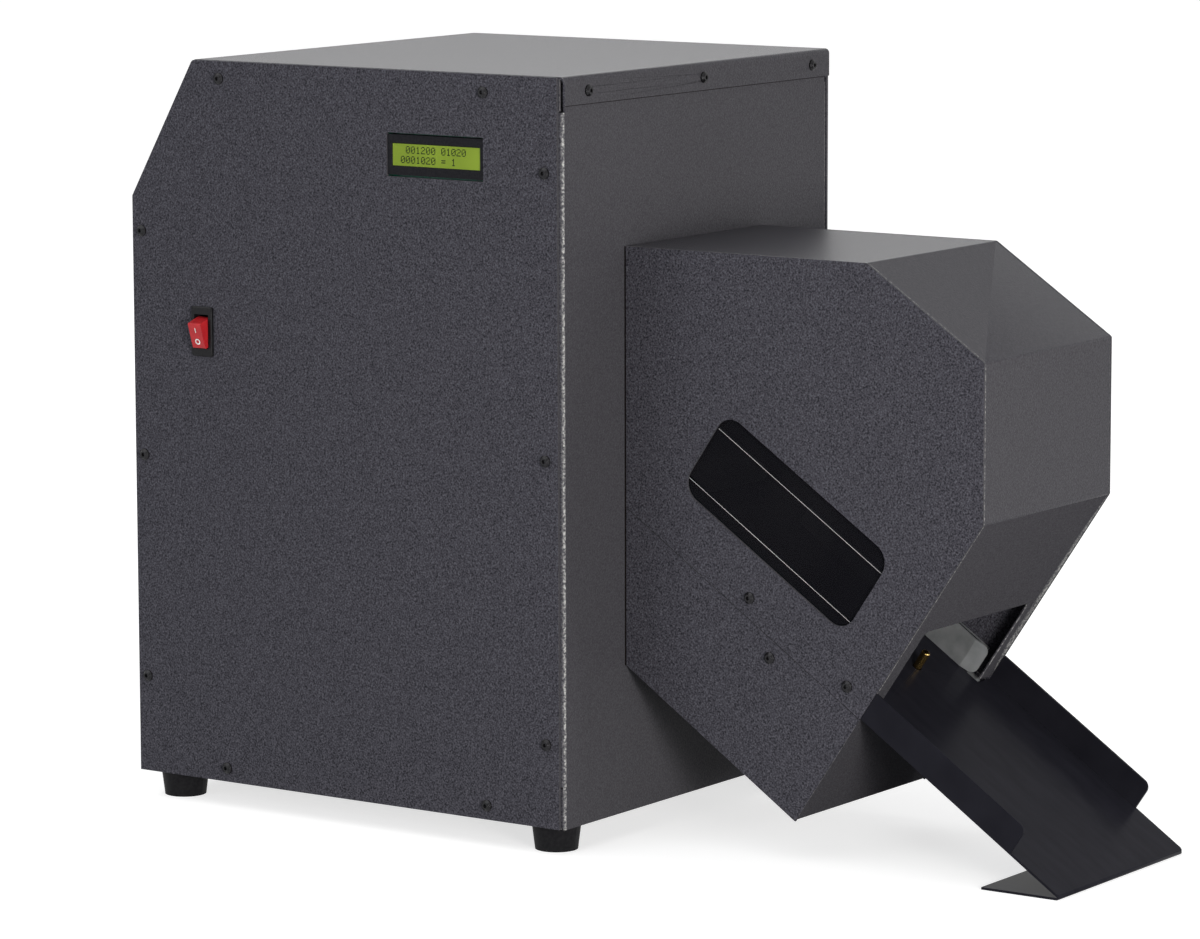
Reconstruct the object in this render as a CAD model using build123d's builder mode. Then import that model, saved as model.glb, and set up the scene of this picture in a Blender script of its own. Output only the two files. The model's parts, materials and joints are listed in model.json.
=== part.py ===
from build123d import *
import os
from math import cos, hypot, radians, sin, tan

os.makedirs("parts", exist_ok=True)

# A bench-top hard drive degausser: a sheet-steel cabinet, a verification bay on its right and an exit chute.
# Millimetres, Z up, the front faces -Y, the origin is on the bench under the middle of the whole.
# A drive slides down a straight path: u runs down along it, w rises square to it, both from the cabinet's
# lower right edge.

# Sheet metal and fits
sheet = 1.5
panel = 2.0
bend = 3.0
panel_gap = 0.3
slip = 0.2

# Cabinet
cabinet_width = 326.0
cabinet_depth = 293.0
cabinet_height = 448.6
entry_face_run = 49.0
entry_face_drop = 86.0
cover_flange = 17.0
cover_front_lip = 20.0
cover_notch = 0.8
right_flange = 22.0
left_flange = 16.0
front_edge_inset = 4.0
pan_wall = 25.0
flange_relief = 1.0
corner_relief = 3.0

# Rubber feet
foot_height = 16.0
foot_top_diameter = 30.0
foot_bottom_diameter = 26.0
foot_inset = 20.0
foot_recess = 6.0
foot_recess_diameter = 12.0

# Button-head screws, and where they stand on the cabinet
screw_diameter = 3.8
screw_hole = 4.2
head_diameter = 7.0
head_height = 2.2
head_rim = 0.9
socket_size = 2.6
socket_depth = 1.2
panel_screw_length = 7.0
right_screw_inset = 13.0
left_screw_inset = 7.5
right_screw_rise = 51.0
right_screw_drop = 56.6
left_screw_rise = 61.0
left_screw_drop = 21.6
row_screw_right = 57.0
row_screw_left = 70.0
top_screw_drop = 11.0
bottom_screw_rise = 9.0
cover_screw_front = 26.7
cover_screw_back = 21.8
cover_screw_drop = 9.2
side_hole_size = 5.0

# Character display
display_from_right = 92.8
display_drop = 50.9
display_opening_width = 71.0
display_opening_height = 26.3
display_frame_height = 24.2
display_frame_depth = 6.0
display_recess = 0.8
display_rim = 3.0
display_rim_top = 5.4
display_glass_thickness = 2.4
display_glass_recess = 0.9
display_board_width = 80.0
display_board_height = 36.0
board_thickness = 1.6
display_post_diameter = 3.8
display_post_inset = 2.5

# Power rocker
switch_from_left = 55.3
switch_rise = 281.4
switch_bezel_width = 16.2
switch_bezel_height = 30.7
switch_bezel_stand = 2.0
switch_body_width = 13.4
switch_body_height = 28.0
switch_body_depth = 24.0
switch_pocket_height = 21.2
switch_pocket_depth = 15.0
rocker_width = 9.8
rocker_height = 16.8
rocker_tilt = radians(18.0)
rocker_face = 8.0
rocker_back = 4.0
rocker_edge = 1.2
rocker_side_gap = 0.6
rocker_pivot_depth = 1.0
rocker_pivot_diameter = 3.0
rocker_pivot_length = 12.4
running_fit = 0.05
switch_tab_length = 9.0

# The slide path
slide_angle = 34.0
path_rise = 156.4
slide_sheet = 1.5
passage_width = 112.0
passage_height = 32.0
slide_wall = 20.0

# Entry frame on the slanted face
entry_margin_side = 13.0
entry_margin_end = 11.0
entry_frame_thickness = 5.0
entry_flare = 3.5
entry_sleeve = 9.0
entry_sleeve_wall = 2.0

# Coil
coil_distance = 270.0
former_length = 174.0
former_wall = 3.0
former_flange = 8.0
winding_build = 34.0
flange_margin = 3.0
winding_corner = 26.0
cradle_sheet = 2.5
cradle_width = 160.0
cradle_foot = 20.0
cradle_end_inset = 5.0

# Stop pins and their solenoids
stop_pin_diameter = 5.5
stop_pin_stand = 12.0
stop_pin_hole = 6.3
stop_travel = 14.0
plunger_diameter = 10.0
plunger_fit = 0.1
plunger_top_drop = 0.4
plunger_length = 20.0
solenoid_length = 30.0
solenoid_width = 26.0
solenoid_height = 44.0
solenoid_frame = 2.5
coil_stop_distance = 164.0
exit_stop_distance = 71.0
exit_stop_offset = 20.0

# Energy store and electronics inside
capacitor_length = 104.0
capacitor_width = 74.0
capacitor_height = 150.0
capacitor_spacing = 80.0
capacitor_corner = 12.0
capacitor_from_right = 169.0
terminal_spacing = 56.0
terminal_diameter = 22.0
terminal_neck_diameter = 17.0
terminal_height = 18.0
stud_diameter = 8.0
stud_height = 12.0
bus_bar_width = 20.0
bus_bar_thickness = 3.0
bus_bar_overhang = 14.0
strap_width = 20.0
strap_foot = 18.0
core_width = 78.0
core_height = 65.0
core_stack = 45.0
core_limb = 26.0
core_yoke = 13.0
core_base = 2.5
core_base_depth = 75.0
core_from_right = 48.0
core_from_front = 63.0
winding_margin = 0.5
heat_sink_width = 72.0
heat_sink_length = 100.0
heat_sink_base = 7.0
fin_height = 25.0
fin_thickness = 2.0
fin_count = 9
heat_sink_from_right = 50.0
heat_sink_from_back = 76.0
thyristor_width = 34.0
thyristor_length = 92.0
thyristor_height = 28.0
control_board_length = 150.0
control_board_height = 120.0
control_board_from_front = 146.0
control_board_rise = 140.0
control_post_length = 10.0
control_post_diameter = 6.0
control_post_inset = 6.0

# Rear of the cabinet
fan_size = 80.0
fan_depth = 25.0
fan_bore = 76.0
fan_screw_spacing = 71.5
fan_hub = 34.0
fan_motor = 32.0
fan_motor_depth = 6.0
fan_strut = 5.0
fan_blades = 7
fan_tip_gap = 1.5
fan_rotor_depth = 15.0
fan_blade_pitch = 38.0
fan_blade_thickness = 1.6
fan_blade_margin = 2.0
fan_blade_root = 1.0
fan_rotor_gap = 1.0
fan_shaft_diameter = 3.0
fan_shaft_length = 5.0
fan_from_right = 85.0
fan_rise = 120.0
grille_slots = 12
grille_inner = 12.0
grille_outer = 34.0
grille_slot_width = 4.5
vent_count = 11
vent_spacing = 9.0
vent_length = 60.0
vent_width = 3.5
vent_from_left = 91.0
vent_rise = 300.0
inlet_from_left = 58.0
inlet_rise = 60.0
inlet_width = 50.0
inlet_height = 30.0
inlet_flange = 3.0
inlet_lip = 1.8
inlet_depth = 25.0
inlet_socket_width = 24.0
inlet_socket_height = 17.0
inlet_socket_depth = 16.0
inlet_socket_shift = 9.0
inlet_pin_length = 13.0
inlet_pin_width = 2.0
inlet_pin_height = 4.0
inlet_pin_shift = 2.0
fuse_drawer_width = 14.0
fuse_drawer_stand = 1.0

# Verification bay
bay_from_front = 66.6
bay_depth = 148.7
bay_top = 344.0
bay_top_run = 167.5
bay_reach = 247.0
bay_shoulder = 291.5
bay_bend = 2.0
bay_gap = 0.6
exit_face = 94.5
bay_underside = 74.2
seam = 154.2
seam_gap = 0.4
exit_strip = 15.0
exit_top = 218.0
exit_corner = 4.0
wrapper_end = 158.5
window_distance = 81.0
window_end = 57.5
window_low = 189.0
window_high = 247.0
window_corner = 12.0
window_overlap = 4.0
window_thickness = 3.0
upper_screw_back_distance = 5.7
upper_screw_distance = 76.7
upper_screw_rise = 10.7
lower_screw_distance = 25.5
lower_screw_drop = 10.0
bay_screw_length = 8.0
strap_plate = 2.0
strap_distance = 66.0
strap_end = 84.0
strap_low = 137.0
strap_high = 172.0
bay_slide_distance = 100.0
bay_slide_end = 84.0
wall_passage_side = 4.0
wall_passage_top = 3.0
mount_frame_depth = 15.0
mount_frame_low = 92.5
mount_screw_inset = 12.0
rail_distance = 60.0
rail_bend = 79.0
rail_end = 89.0
rail_flare = 3.5
rail_height = 20.5
rail_foot = 7.0
rail_corner = 5.0
rail_from_strip = 1.0
ledge_start = 30.0
ledge_drop = 34.0
ledge_margin = 6.0
ledge_clearance = 4.0

# Camera and light inside the bay
camera_size = 46.0
camera_height = 44.0
camera_rise = 291.5
camera_distance = 8.0
bracket_length = 60.0
bracket_overhang = 45.2
bracket_leg = 34.0
lens_diameter = 28.0
lens_length = 24.0
lens_step = 8.0
lens_hole_gap = 0.6
light_length = 90.0
light_width = 16.0
light_height = 10.0

# Exit chute
chute_flange_height = 18.0
chute_flange_end = 217.0
chute_corner = 5.0
lip_round = 4.0
lip_round_start = 3.6
chute_foot = 55.5
chute_bend = 1.7
tongue_start = 40.5
tongue_gap = 0.5
tongue_side = 0.8

# Places worked out from the sizes above
slope = radians(slide_angle)
floor_under = path_rise - slide_sheet
lip_corner = (path_rise + foot_height * cos(slope)) / sin(slope)
chute_reach = lip_corner - chute_bend * (1 / tan(slope / 2) - 1)
right = (cabinet_width - chute_reach) / 2
left = right - cabinet_width
front = -cabinet_depth / 2
back = cabinet_depth / 2
bottom = foot_height
top = bottom + cabinet_height
inside_floor = bottom + sheet
side_face = right - sheet
left_face = left + sheet
bay_front = front + bay_from_front
bay_back = bay_front + bay_depth
path_y = (bay_front + bay_back) / 2
coil_middle = -coil_distance
coil_stop_u = -coil_stop_distance
bay_slide_start = -bay_slide_distance
window_start = -window_distance
strap_start = -strap_distance
rail_start = -rail_distance
camera_u = -camera_distance
bay_screw_points = (
    (-upper_screw_back_distance, seam + upper_screw_rise),
    (upper_screw_distance, seam + upper_screw_rise),
    (lower_screw_distance, seam - lower_screw_drop),
)
chute_flange_start = exit_face + panel_gap
tongue_width = bay_depth - 2 * exit_strip - 2 * tongue_side
passage_middle = path_rise + passage_height / 2
passage_top = path_rise + passage_height
down_slide = Vector(cos(slope), 0, -sin(slope))
up_slide = Vector(sin(slope), 0, cos(slope))
slide_corner = Vector(right, 0, bottom)


def upright(y):
    """Plane facing the front at depth y; local x is X and local y is Z."""
    return Plane(origin=(0, y, 0), x_dir=(1, 0, 0), z_dir=(0, -1, 0))


def across(y):
    """Plane facing the front at depth y, turned with the slide; local x is u and local y is w."""
    return Plane(origin=(right, y, bottom), x_dir=down_slide, z_dir=(0, -1, 0))


def square_to(u):
    """Plane square to the slide at distance u; local x is Y and local y is w."""
    return Plane(origin=slide_corner + down_slide * u, x_dir=(0, 1, 0), z_dir=down_slide)


def lying(w):
    """Plane parallel to the sliding surface at height w; local x is u and local y is Y."""
    return Plane(origin=slide_corner + up_slide * w, x_dir=down_slide, z_dir=up_slide)


def on_slide(u, w):
    """The X and Z of a point given along and square to the slide."""
    return (right + u * cos(slope) + w * sin(slope), bottom - u * sin(slope) + w * cos(slope))


def slide_height(x, w):
    """The Z of the line at height w over the slide's origin, where it passes x."""
    return bottom + (w - (x - right) * sin(slope)) / cos(slope)


def bent_section(plane, points, thickness, radius, side):
    """Cross-section of a bent sheet: one face follows the points, the wall lies on the given side of them."""
    with BuildSketch(plane) as section:
        with BuildLine():
            face_line = FilletPolyline(*points, radius=radius)
            offset(face_line, amount=thickness, side=side)
        make_face()
    return section.sketch


def outline(plane, points):
    """A flat outline through the points."""
    with BuildSketch(plane) as flat:
        Polygon(*points, align=None)
    return flat.sketch


def channel_section(plane, middle, clear_width, low, wall_height, thickness):
    """An upright channel: a floor whose top is at the given height, between two walls."""
    half = clear_width / 2 + thickness
    with BuildSketch(plane) as section:
        with Locations((middle, low - thickness)):
            Rectangle(2 * half, wall_height + thickness, align=(Align.CENTER, Align.MIN))
        with Locations((middle, low)):
            Rectangle(clear_width, wall_height, align=(Align.CENTER, Align.MIN), mode=Mode.SUBTRACT)
    return section.sketch


def ends_and_middle(low, high):
    """Three places for screws: both ends of a run and half-way between."""
    return (low, (low + high) / 2, high)


def button_screw(length):
    """A button-head screw with a hexagon socket, its seat at the origin and its head towards +Z."""
    with BuildPart() as screw:
        with BuildSketch(Plane.XZ):
            Polygon(
                (0, -length),
                (screw_diameter / 2, -length),
                (screw_diameter / 2, 0),
                (head_diameter / 2, 0),
                (head_diameter / 2, head_rim),
                (head_diameter * 0.3, head_height),
                (0, head_height),
                align=None,
            )
        revolve(axis=Axis.Z)
        with BuildSketch(Plane.XY.offset(head_height)):
            RegularPolygon(socket_size / 2, 6)
        extrude(amount=-socket_depth, mode=Mode.SUBTRACT)
    return screw.part


# Turns that point a screw's head out of each side
towards_front = (90, 0, 0)
towards_back = (-90, 0, 0)
towards_right = (0, 90, 0)
towards_left = (0, -90, 0)

# Screw places in X and Z on the front and rear, and in Y and Z on the sides
right_column_z = ends_and_middle(bottom + right_screw_rise, top - right_screw_drop)
left_column_z = ends_and_middle(bottom + left_screw_rise, top - entry_face_drop - left_screw_drop)
right_column = [(right - right_screw_inset, z) for z in right_column_z]
left_column = [(left + left_screw_inset, z) for z in left_column_z]
bottom_row = [(x, bottom + bottom_screw_rise) for x in (left + row_screw_left, right - row_screw_right)]
top_row = [(x, top - top_screw_drop) for x in (left + row_screw_left, right - row_screw_right)]
front_screw_points = right_column + left_column + bottom_row + top_row
rear_screw_points = right_column + left_column + bottom_row
cover_screw_y = ends_and_middle(front + cover_screw_front, back - cover_screw_back)
right_cover_points = [(y, top - cover_screw_drop) for y in cover_screw_y]
left_cover_points = [(y, top - entry_face_drop - cover_screw_drop) for y in cover_screw_y]
foot_points = [
    (x, y)
    for x in (left + foot_inset, right - foot_inset)
    for y in (front + foot_inset, back - foot_inset)
]

# The slanted entry face, and where the middle of the path crosses it
face_length = hypot(entry_face_run, entry_face_drop)
face_low = Vector(left, 0, top - entry_face_drop)
face_along = Vector(entry_face_run, 0, entry_face_drop) / face_length
face_out = Vector(-entry_face_drop, 0, entry_face_run) / face_length
low_w = (face_low - slide_corner).dot(up_slide)
entry_along = (passage_middle - low_w) / face_along.dot(up_slide)
entry_middle = face_low + face_along * entry_along + Vector(0, path_y, 0)
entry_plane = Plane(origin=entry_middle, x_dir=(0, 1, 0), z_dir=face_out)
entry_u = (entry_middle - slide_corner).dot(down_slide)


# Base pan: a folded tray with pressed-in nuts for the feet
with BuildPart() as base_pan:
    pan_width = cabinet_width - 4 * sheet
    pan_depth = cabinet_depth - 2 * panel
    with BuildSketch(Plane.XY.offset(bottom)):
        with Locations(((left + right) / 2, 0)):
            Rectangle(pan_width, pan_depth)
    extrude(amount=pan_wall)
    fillet(base_pan.faces().sort_by(Axis.Z)[0].edges(), sheet * 1.5)
    with BuildSketch(Plane.XY.offset(inside_floor)):
        with Locations(((left + right) / 2, 0)):
            Rectangle(pan_width - 2 * sheet, pan_depth - 2 * sheet)
    extrude(amount=pan_wall, mode=Mode.SUBTRACT)
    with Locations(*[(x, y, inside_floor) for x, y in foot_points]):
        Cylinder(screw_diameter, sheet * 2, align=(Align.CENTER, Align.CENTER, Align.MIN))
    with BuildSketch(Plane.XY.offset(bottom)):
        with Locations(*foot_points):
            Circle(screw_hole / 2)
    extrude(amount=pan_wall, mode=Mode.SUBTRACT)
    with BuildSketch(upright(back)):
        with Locations(*bottom_row):
            Circle(screw_hole / 2)
    extrude(amount=cabinet_depth, mode=Mode.SUBTRACT)

# Rubber feet, each with a recess for its screw
with BuildPart() as rubber_feet:
    with Locations(*[(x, y, 0) for x, y in foot_points]):
        Cone(
            foot_bottom_diameter / 2,
            foot_top_diameter / 2,
            foot_height,
            align=(Align.CENTER, Align.CENTER, Align.MIN),
        )
        Cylinder(
            foot_recess_diameter / 2,
            foot_recess,
            align=(Align.CENTER, Align.CENTER, Align.MIN),
            mode=Mode.SUBTRACT,
        )
        Cylinder(
            screw_hole / 2,
            foot_height,
            align=(Align.CENTER, Align.CENTER, Align.MIN),
            mode=Mode.SUBTRACT,
        )

foot_screw = button_screw(foot_height - foot_recess + sheet * 3)
with BuildPart() as foot_screws:
    with Locations(*[Location((x, y, foot_recess), (180, 0, 0)) for x, y in foot_points]):
        add(foot_screw)

# Front panel: a flat plate, inset on the right so that the side panel's bend shows beside it
with BuildPart() as front_panel:
    with BuildSketch(upright(front + panel)):
        Polygon(
            (left, bottom),
            (right, bottom),
            (right, top),
            (left + entry_face_run, top),
            (left, top - entry_face_drop),
            align=None,
        )
        offset(amount=-panel_gap, kind=Kind.INTERSECTION)
        with Locations((right, bottom)):
            Rectangle(
                2 * front_edge_inset,
                2 * cabinet_height,
                align=(Align.CENTER, Align.CENTER),
                mode=Mode.SUBTRACT,
            )
    extrude(amount=panel)
    corner_edges = front_panel.edges().filter_by(Axis.Y)
    fillet(corner_edges.filter_by(lambda edge: edge.center().Z > top - panel and edge.center().X < 0), bend)
    with BuildSketch(upright(front + panel)):
        with Locations((right - display_from_right, top - display_drop)):
            Rectangle(display_opening_width, display_opening_height)
        with Locations((left + switch_from_left, bottom + switch_rise)):
            Rectangle(switch_body_width + 2 * slip, switch_body_height + 2 * slip)
        with Locations(*front_screw_points):
            Circle(screw_hole / 2)
    extrude(amount=panel, mode=Mode.SUBTRACT)

front_screw = button_screw(panel_screw_length)
with BuildPart() as front_panel_screws:
    with Locations(*[Location((x, front, z), towards_front) for x, z in front_screw_points]):
        add(front_screw)

# Side panels: folded channels with flanges behind the front and rear panels
wall_passage_low = slide_height(right, floor_under) - panel_gap
wall_passage_high = slide_height(side_face - sheet, passage_top) + wall_passage_top
wall_passage_width = passage_width + 2 * slide_sheet + wall_passage_side
mount_screw_points = [
    (y, z)
    for y in (bay_front + sheet + mount_screw_inset, bay_back - sheet - mount_screw_inset)
    for z in (bottom + mount_frame_low + mount_screw_inset, bottom + bay_top - sheet - mount_screw_inset)
]
side_plane = Plane(origin=(side_face, 0, 0), x_dir=(0, 1, 0), z_dir=(1, 0, 0))

with BuildPart() as right_side_panel:
    extrude(
        bent_section(
            Plane.XY.offset(bottom),
            [
                (side_face - right_flange, front + panel),
                (side_face, front + panel),
                (side_face, back - panel),
                (side_face - right_flange, back - panel),
            ],
            sheet,
            bend,
            Side.LEFT,
        ),
        amount=cabinet_height - bend - panel_gap,
    )
    for flange_face in (front + panel, back - panel):
        with Locations((side_face - sheet, flange_face, bottom)):
            Box(
                2 * right_flange,
                2 * bend,
                pan_wall + flange_relief,
                align=(Align.MAX, Align.CENTER, Align.MIN),
                mode=Mode.SUBTRACT,
            )
        with Locations((side_face, flange_face, top)):
            Box(
                2 * right_flange,
                2 * corner_relief,
                cover_front_lip + flange_relief,
                align=(Align.MAX, Align.CENTER, Align.MAX),
                mode=Mode.SUBTRACT,
            )
    with BuildSketch(upright(back)):
        with Locations(*right_column):
            Circle(screw_hole / 2)
    extrude(amount=cabinet_depth, mode=Mode.SUBTRACT)
    with BuildSketch(side_plane):
        with Locations(*right_cover_points, *mount_screw_points):
            Circle(screw_hole / 2)
        with Locations((path_y, (wall_passage_low + wall_passage_high) / 2)):
            Rectangle(wall_passage_width, wall_passage_high - wall_passage_low)
    extrude(amount=-2 * sheet, mode=Mode.SUBTRACT)

with BuildPart() as left_side_panel:
    left_height = cabinet_height - entry_face_drop - sheet - panel_gap
    extrude(
        bent_section(
            Plane.XY.offset(bottom),
            [
                (left_face + left_flange, front + panel),
                (left_face, front + panel),
                (left_face, back - panel),
                (left_face + left_flange, back - panel),
            ],
            sheet,
            bend,
            Side.RIGHT,
        ),
        amount=left_height,
    )
    for flange_face in (front + panel, back - panel):
        with Locations((left_face + sheet, flange_face, bottom)):
            Box(
                2 * left_flange,
                2 * bend,
                pan_wall + flange_relief,
                align=(Align.MIN, Align.CENTER, Align.MIN),
                mode=Mode.SUBTRACT,
            )
    with BuildSketch(upright(back)):
        with Locations(*left_column):
            Circle(screw_hole / 2)
    extrude(amount=cabinet_depth, mode=Mode.SUBTRACT)
    with BuildSketch(Plane(origin=(left_face, 0, 0), x_dir=(0, 1, 0), z_dir=(1, 0, 0))):
        with Locations(*left_cover_points):
            Circle(screw_hole / 2)
    extrude(amount=2 * sheet, mode=Mode.SUBTRACT)

# Top cover: one folded sheet with a slanted entry face, side flanges, a front lip and a rear flange
cover_end = back + sheet - bend
with BuildPart() as top_cover:
    extrude(
        bent_section(
            upright(cover_end),
            [
                (right, top - cover_flange),
                (right, top),
                (left + entry_face_run, top),
                (left, top - entry_face_drop),
                (left, top - entry_face_drop - cover_flange),
            ],
            sheet,
            bend,
            Side.LEFT,
        ),
        amount=cover_end - front - panel,
    )
    lip_left = left + entry_face_run + bend
    lip_right = side_face - sheet - panel_gap
    extrude(
        bent_section(
            Plane(origin=(lip_left, 0, 0), x_dir=(0, 1, 0), z_dir=(1, 0, 0)),
            [
                (cover_end - bend, top),
                (back + sheet, top),
                (back + sheet, top - cover_flange),
            ],
            sheet,
            bend,
            Side.RIGHT,
        ),
        amount=right - bend - lip_left,
    )
    with BuildSketch(upright(front + panel + sheet)):
        with Locations((lip_left, top - sheet)):
            Rectangle(lip_right - lip_left, cover_front_lip - sheet, align=(Align.MIN, Align.MAX))
    extrude(amount=sheet)
    with Locations((right, front + panel, top - bend)):
        Box(
            2 * sheet,
            2 * cover_notch,
            cover_flange,
            align=(Align.CENTER, Align.CENTER, Align.MAX),
            mode=Mode.SUBTRACT,
        )
    with BuildSketch(side_plane):
        with Locations(*right_cover_points):
            Circle(screw_hole / 2)
    extrude(amount=sheet, mode=Mode.SUBTRACT)
    with BuildSketch(Plane(origin=(left, 0, 0), x_dir=(0, 1, 0), z_dir=(1, 0, 0))):
        with Locations(*left_cover_points):
            Circle(screw_hole / 2)
    extrude(amount=sheet, mode=Mode.SUBTRACT)
    with BuildSketch(upright(front + panel + sheet)):
        with Locations(*top_row):
            Circle(screw_hole / 2)
    extrude(amount=sheet, mode=Mode.SUBTRACT)
    with BuildSketch(entry_plane):
        Rectangle(
            passage_width + 2 * entry_sleeve_wall + 2 * slip,
            passage_height + 2 * entry_sleeve_wall + 2 * slip,
        )
    extrude(amount=-2 * sheet, both=True, mode=Mode.SUBTRACT)

cover_screw_places = [Location((right, y, z), towards_right) for y, z in right_cover_points]
cover_screw_places += [Location((left, y, z), towards_left) for y, z in left_cover_points]
with BuildPart() as top_cover_screws:
    with Locations(*cover_screw_places):
        add(front_screw)

# Rear panel with the fan's grille, a row of vents and the inlet's cut-out
fan_x = right - fan_from_right
fan_z = bottom + fan_rise
inlet_x = left + inlet_from_left
inlet_z = bottom + inlet_rise
fan_screw_points = [
    (fan_x + i * fan_screw_spacing / 2, fan_z + j * fan_screw_spacing / 2)
    for i in (-1, 1)
    for j in (-1, 1)
]
rear_top = top - bend + sheet
with BuildPart() as rear_panel:
    with BuildSketch(upright(back)):
        Polygon(
            (left, bottom),
            (right, bottom),
            (right, rear_top),
            (left + entry_face_run, rear_top),
            (left, top - entry_face_drop),
            align=None,
        )
        offset(amount=-sheet - panel_gap, kind=Kind.INTERSECTION)
        with Locations((fan_x, fan_z)):
            with PolarLocations((grille_inner + grille_outer) / 2, grille_slots):
                SlotOverall(grille_outer - grille_inner, grille_slot_width, mode=Mode.SUBTRACT)
        with Locations((left + vent_from_left, bottom + vent_rise)):
            with GridLocations(vent_spacing, 0, vent_count, 1):
                SlotOverall(vent_length, vent_width, rotation=90, mode=Mode.SUBTRACT)
        with Locations((inlet_x, inlet_z)):
            Rectangle(
                inlet_width - 2 * inlet_lip + 2 * slip,
                inlet_height - 2 * inlet_lip + 2 * slip,
                mode=Mode.SUBTRACT,
            )
        with Locations(*rear_screw_points, *fan_screw_points):
            Circle(screw_hole / 2, mode=Mode.SUBTRACT)
    extrude(amount=panel)

with BuildPart() as rear_panel_screws:
    with Locations(*[Location((x, back, z), towards_back) for x, z in rear_screw_points + fan_screw_points]):
        add(front_screw)

# Mains inlet with its three pins and a fuse drawer
with BuildPart() as power_inlet:
    with BuildSketch(upright(back)):
        with Locations((inlet_x, inlet_z)):
            RectangleRounded(inlet_width, inlet_height, inlet_lip)
    extrude(amount=-inlet_flange)
    with BuildSketch(upright(back)):
        with Locations((inlet_x, inlet_z)):
            Rectangle(inlet_width - 2 * inlet_lip, inlet_height - 2 * inlet_lip)
    extrude(amount=inlet_depth)
    with BuildSketch(upright(back + inlet_flange)) as socket:
        with Locations((inlet_x + inlet_socket_shift, inlet_z)):
            Rectangle(inlet_socket_width, inlet_socket_height)
        upper_corners = socket.vertices().group_by(Axis.Y)[-1]
        chamfer(upper_corners, inlet_socket_height / 4)
    extrude(amount=inlet_socket_depth, mode=Mode.SUBTRACT)
    with BuildSketch(upright(back + inlet_flange - inlet_socket_depth)):
        with Locations((inlet_x + inlet_socket_shift, inlet_z)):
            with Locations(
                (-inlet_socket_width / 4, -inlet_pin_shift),
                (0, inlet_pin_shift),
                (inlet_socket_width / 4, -inlet_pin_shift),
            ):
                Rectangle(inlet_pin_width, inlet_pin_height)
    extrude(amount=-inlet_pin_length)
    with BuildSketch(upright(back + inlet_flange)):
        with Locations((inlet_x - inlet_width / 2 + inlet_lip + fuse_drawer_width / 2, inlet_z)):
            Rectangle(fuse_drawer_width, inlet_socket_height)
    extrude(amount=-fuse_drawer_stand)

# Cooling fan: a square frame with struts and a motor seat, and a bladed rotor
fan_back = back - panel
fan_front = fan_back - fan_depth
rotor_front = fan_front + fan_motor_depth + fan_rotor_gap
fan_axis = Axis((fan_x, 0, fan_z), (0, 1, 0))
with BuildPart() as fan_frame:
    with BuildSketch(upright(fan_back)):
        with Locations((fan_x, fan_z)):
            RectangleRounded(fan_size, fan_size, bend)
            Circle(fan_bore / 2, mode=Mode.SUBTRACT)
            with GridLocations(fan_screw_spacing, fan_screw_spacing, 2, 2):
                Circle(screw_hole / 2, mode=Mode.SUBTRACT)
    extrude(amount=fan_depth)
    with BuildSketch(upright(fan_front + fan_motor_depth)):
        with Locations((fan_x, fan_z)):
            Circle(fan_motor / 2)
            with PolarLocations((fan_bore + fan_motor) / 4, 4, start_angle=45):
                Rectangle((fan_bore - fan_motor) / 2 + fan_strut, fan_strut)
    extrude(amount=fan_motor_depth)
    with BuildSketch(upright(fan_front + fan_motor_depth)):
        with Locations((fan_x, fan_z)):
            Circle(fan_shaft_diameter / 2 + running_fit)
    extrude(amount=fan_shaft_length, mode=Mode.SUBTRACT)

blade_length = (fan_bore - fan_hub) / 2 - fan_tip_gap
blade_width = (fan_rotor_depth - fan_blade_thickness) / sin(radians(fan_blade_pitch)) - fan_blade_margin
with BuildPart() as fan_rotor:
    with BuildSketch(upright(rotor_front + fan_rotor_depth)):
        with Locations((fan_x, fan_z)):
            Circle(fan_hub / 2)
    extrude(amount=fan_rotor_depth)
    rim_edges = fan_rotor.edges().filter_by(GeomType.CIRCLE).sort_by(Axis.Y)
    fillet(rim_edges[-1], sheet)
    with Locations(Location((fan_x, rotor_front + fan_rotor_depth / 2, fan_z), towards_front)):
        with PolarLocations(0, fan_blades):
            with Locations(Location((fan_hub / 2 - fan_blade_root, 0, 0), (fan_blade_pitch, 0, 0))):
                Box(
                    blade_length + fan_blade_root,
                    blade_width,
                    fan_blade_thickness,
                    align=(Align.MIN, Align.CENTER, Align.CENTER),
                )
    with BuildSketch(upright(rotor_front)):
        with Locations((fan_x, fan_z)):
            Circle(fan_shaft_diameter / 2)
    extrude(amount=fan_shaft_length)

# Character display: a recessed black frame, the glass in it, and the board behind on four posts
display_x = right - display_from_right
display_z = top - display_drop
display_front = front + display_recess
display_board_front = display_front + display_frame_depth
display_window_width = display_opening_width - 2 * slip - 2 * display_rim
display_window_height = display_frame_height - 2 * display_rim_top
with BuildPart() as display_frame:
    with BuildSketch(upright(display_board_front)):
        with Locations((display_x, display_z)):
            Rectangle(display_opening_width - 2 * slip, display_frame_height)
            Rectangle(display_window_width, display_window_height, mode=Mode.SUBTRACT)
    extrude(amount=display_frame_depth)
    front_rim = display_frame.faces().sort_by(Axis.Y)[0].inner_wires()[0].edges()
    chamfer(front_rim, display_glass_recess - slip)

with BuildPart() as display_glass:
    with BuildSketch(upright(display_front + display_glass_recess + display_glass_thickness)):
        with Locations((display_x, display_z)):
            Rectangle(display_window_width - slip, display_window_height - slip)
    extrude(amount=display_glass_thickness)

post_points = [
    (
        display_x + i * (display_board_width / 2 - display_post_inset),
        display_z + j * (display_board_height / 2 - display_post_inset),
    )
    for i in (-1, 1)
    for j in (-1, 1)
]
with BuildPart() as display_board:
    with BuildSketch(upright(display_board_front + board_thickness)):
        with Locations((display_x, display_z)):
            Rectangle(display_board_width, display_board_height)
    extrude(amount=board_thickness)

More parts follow.
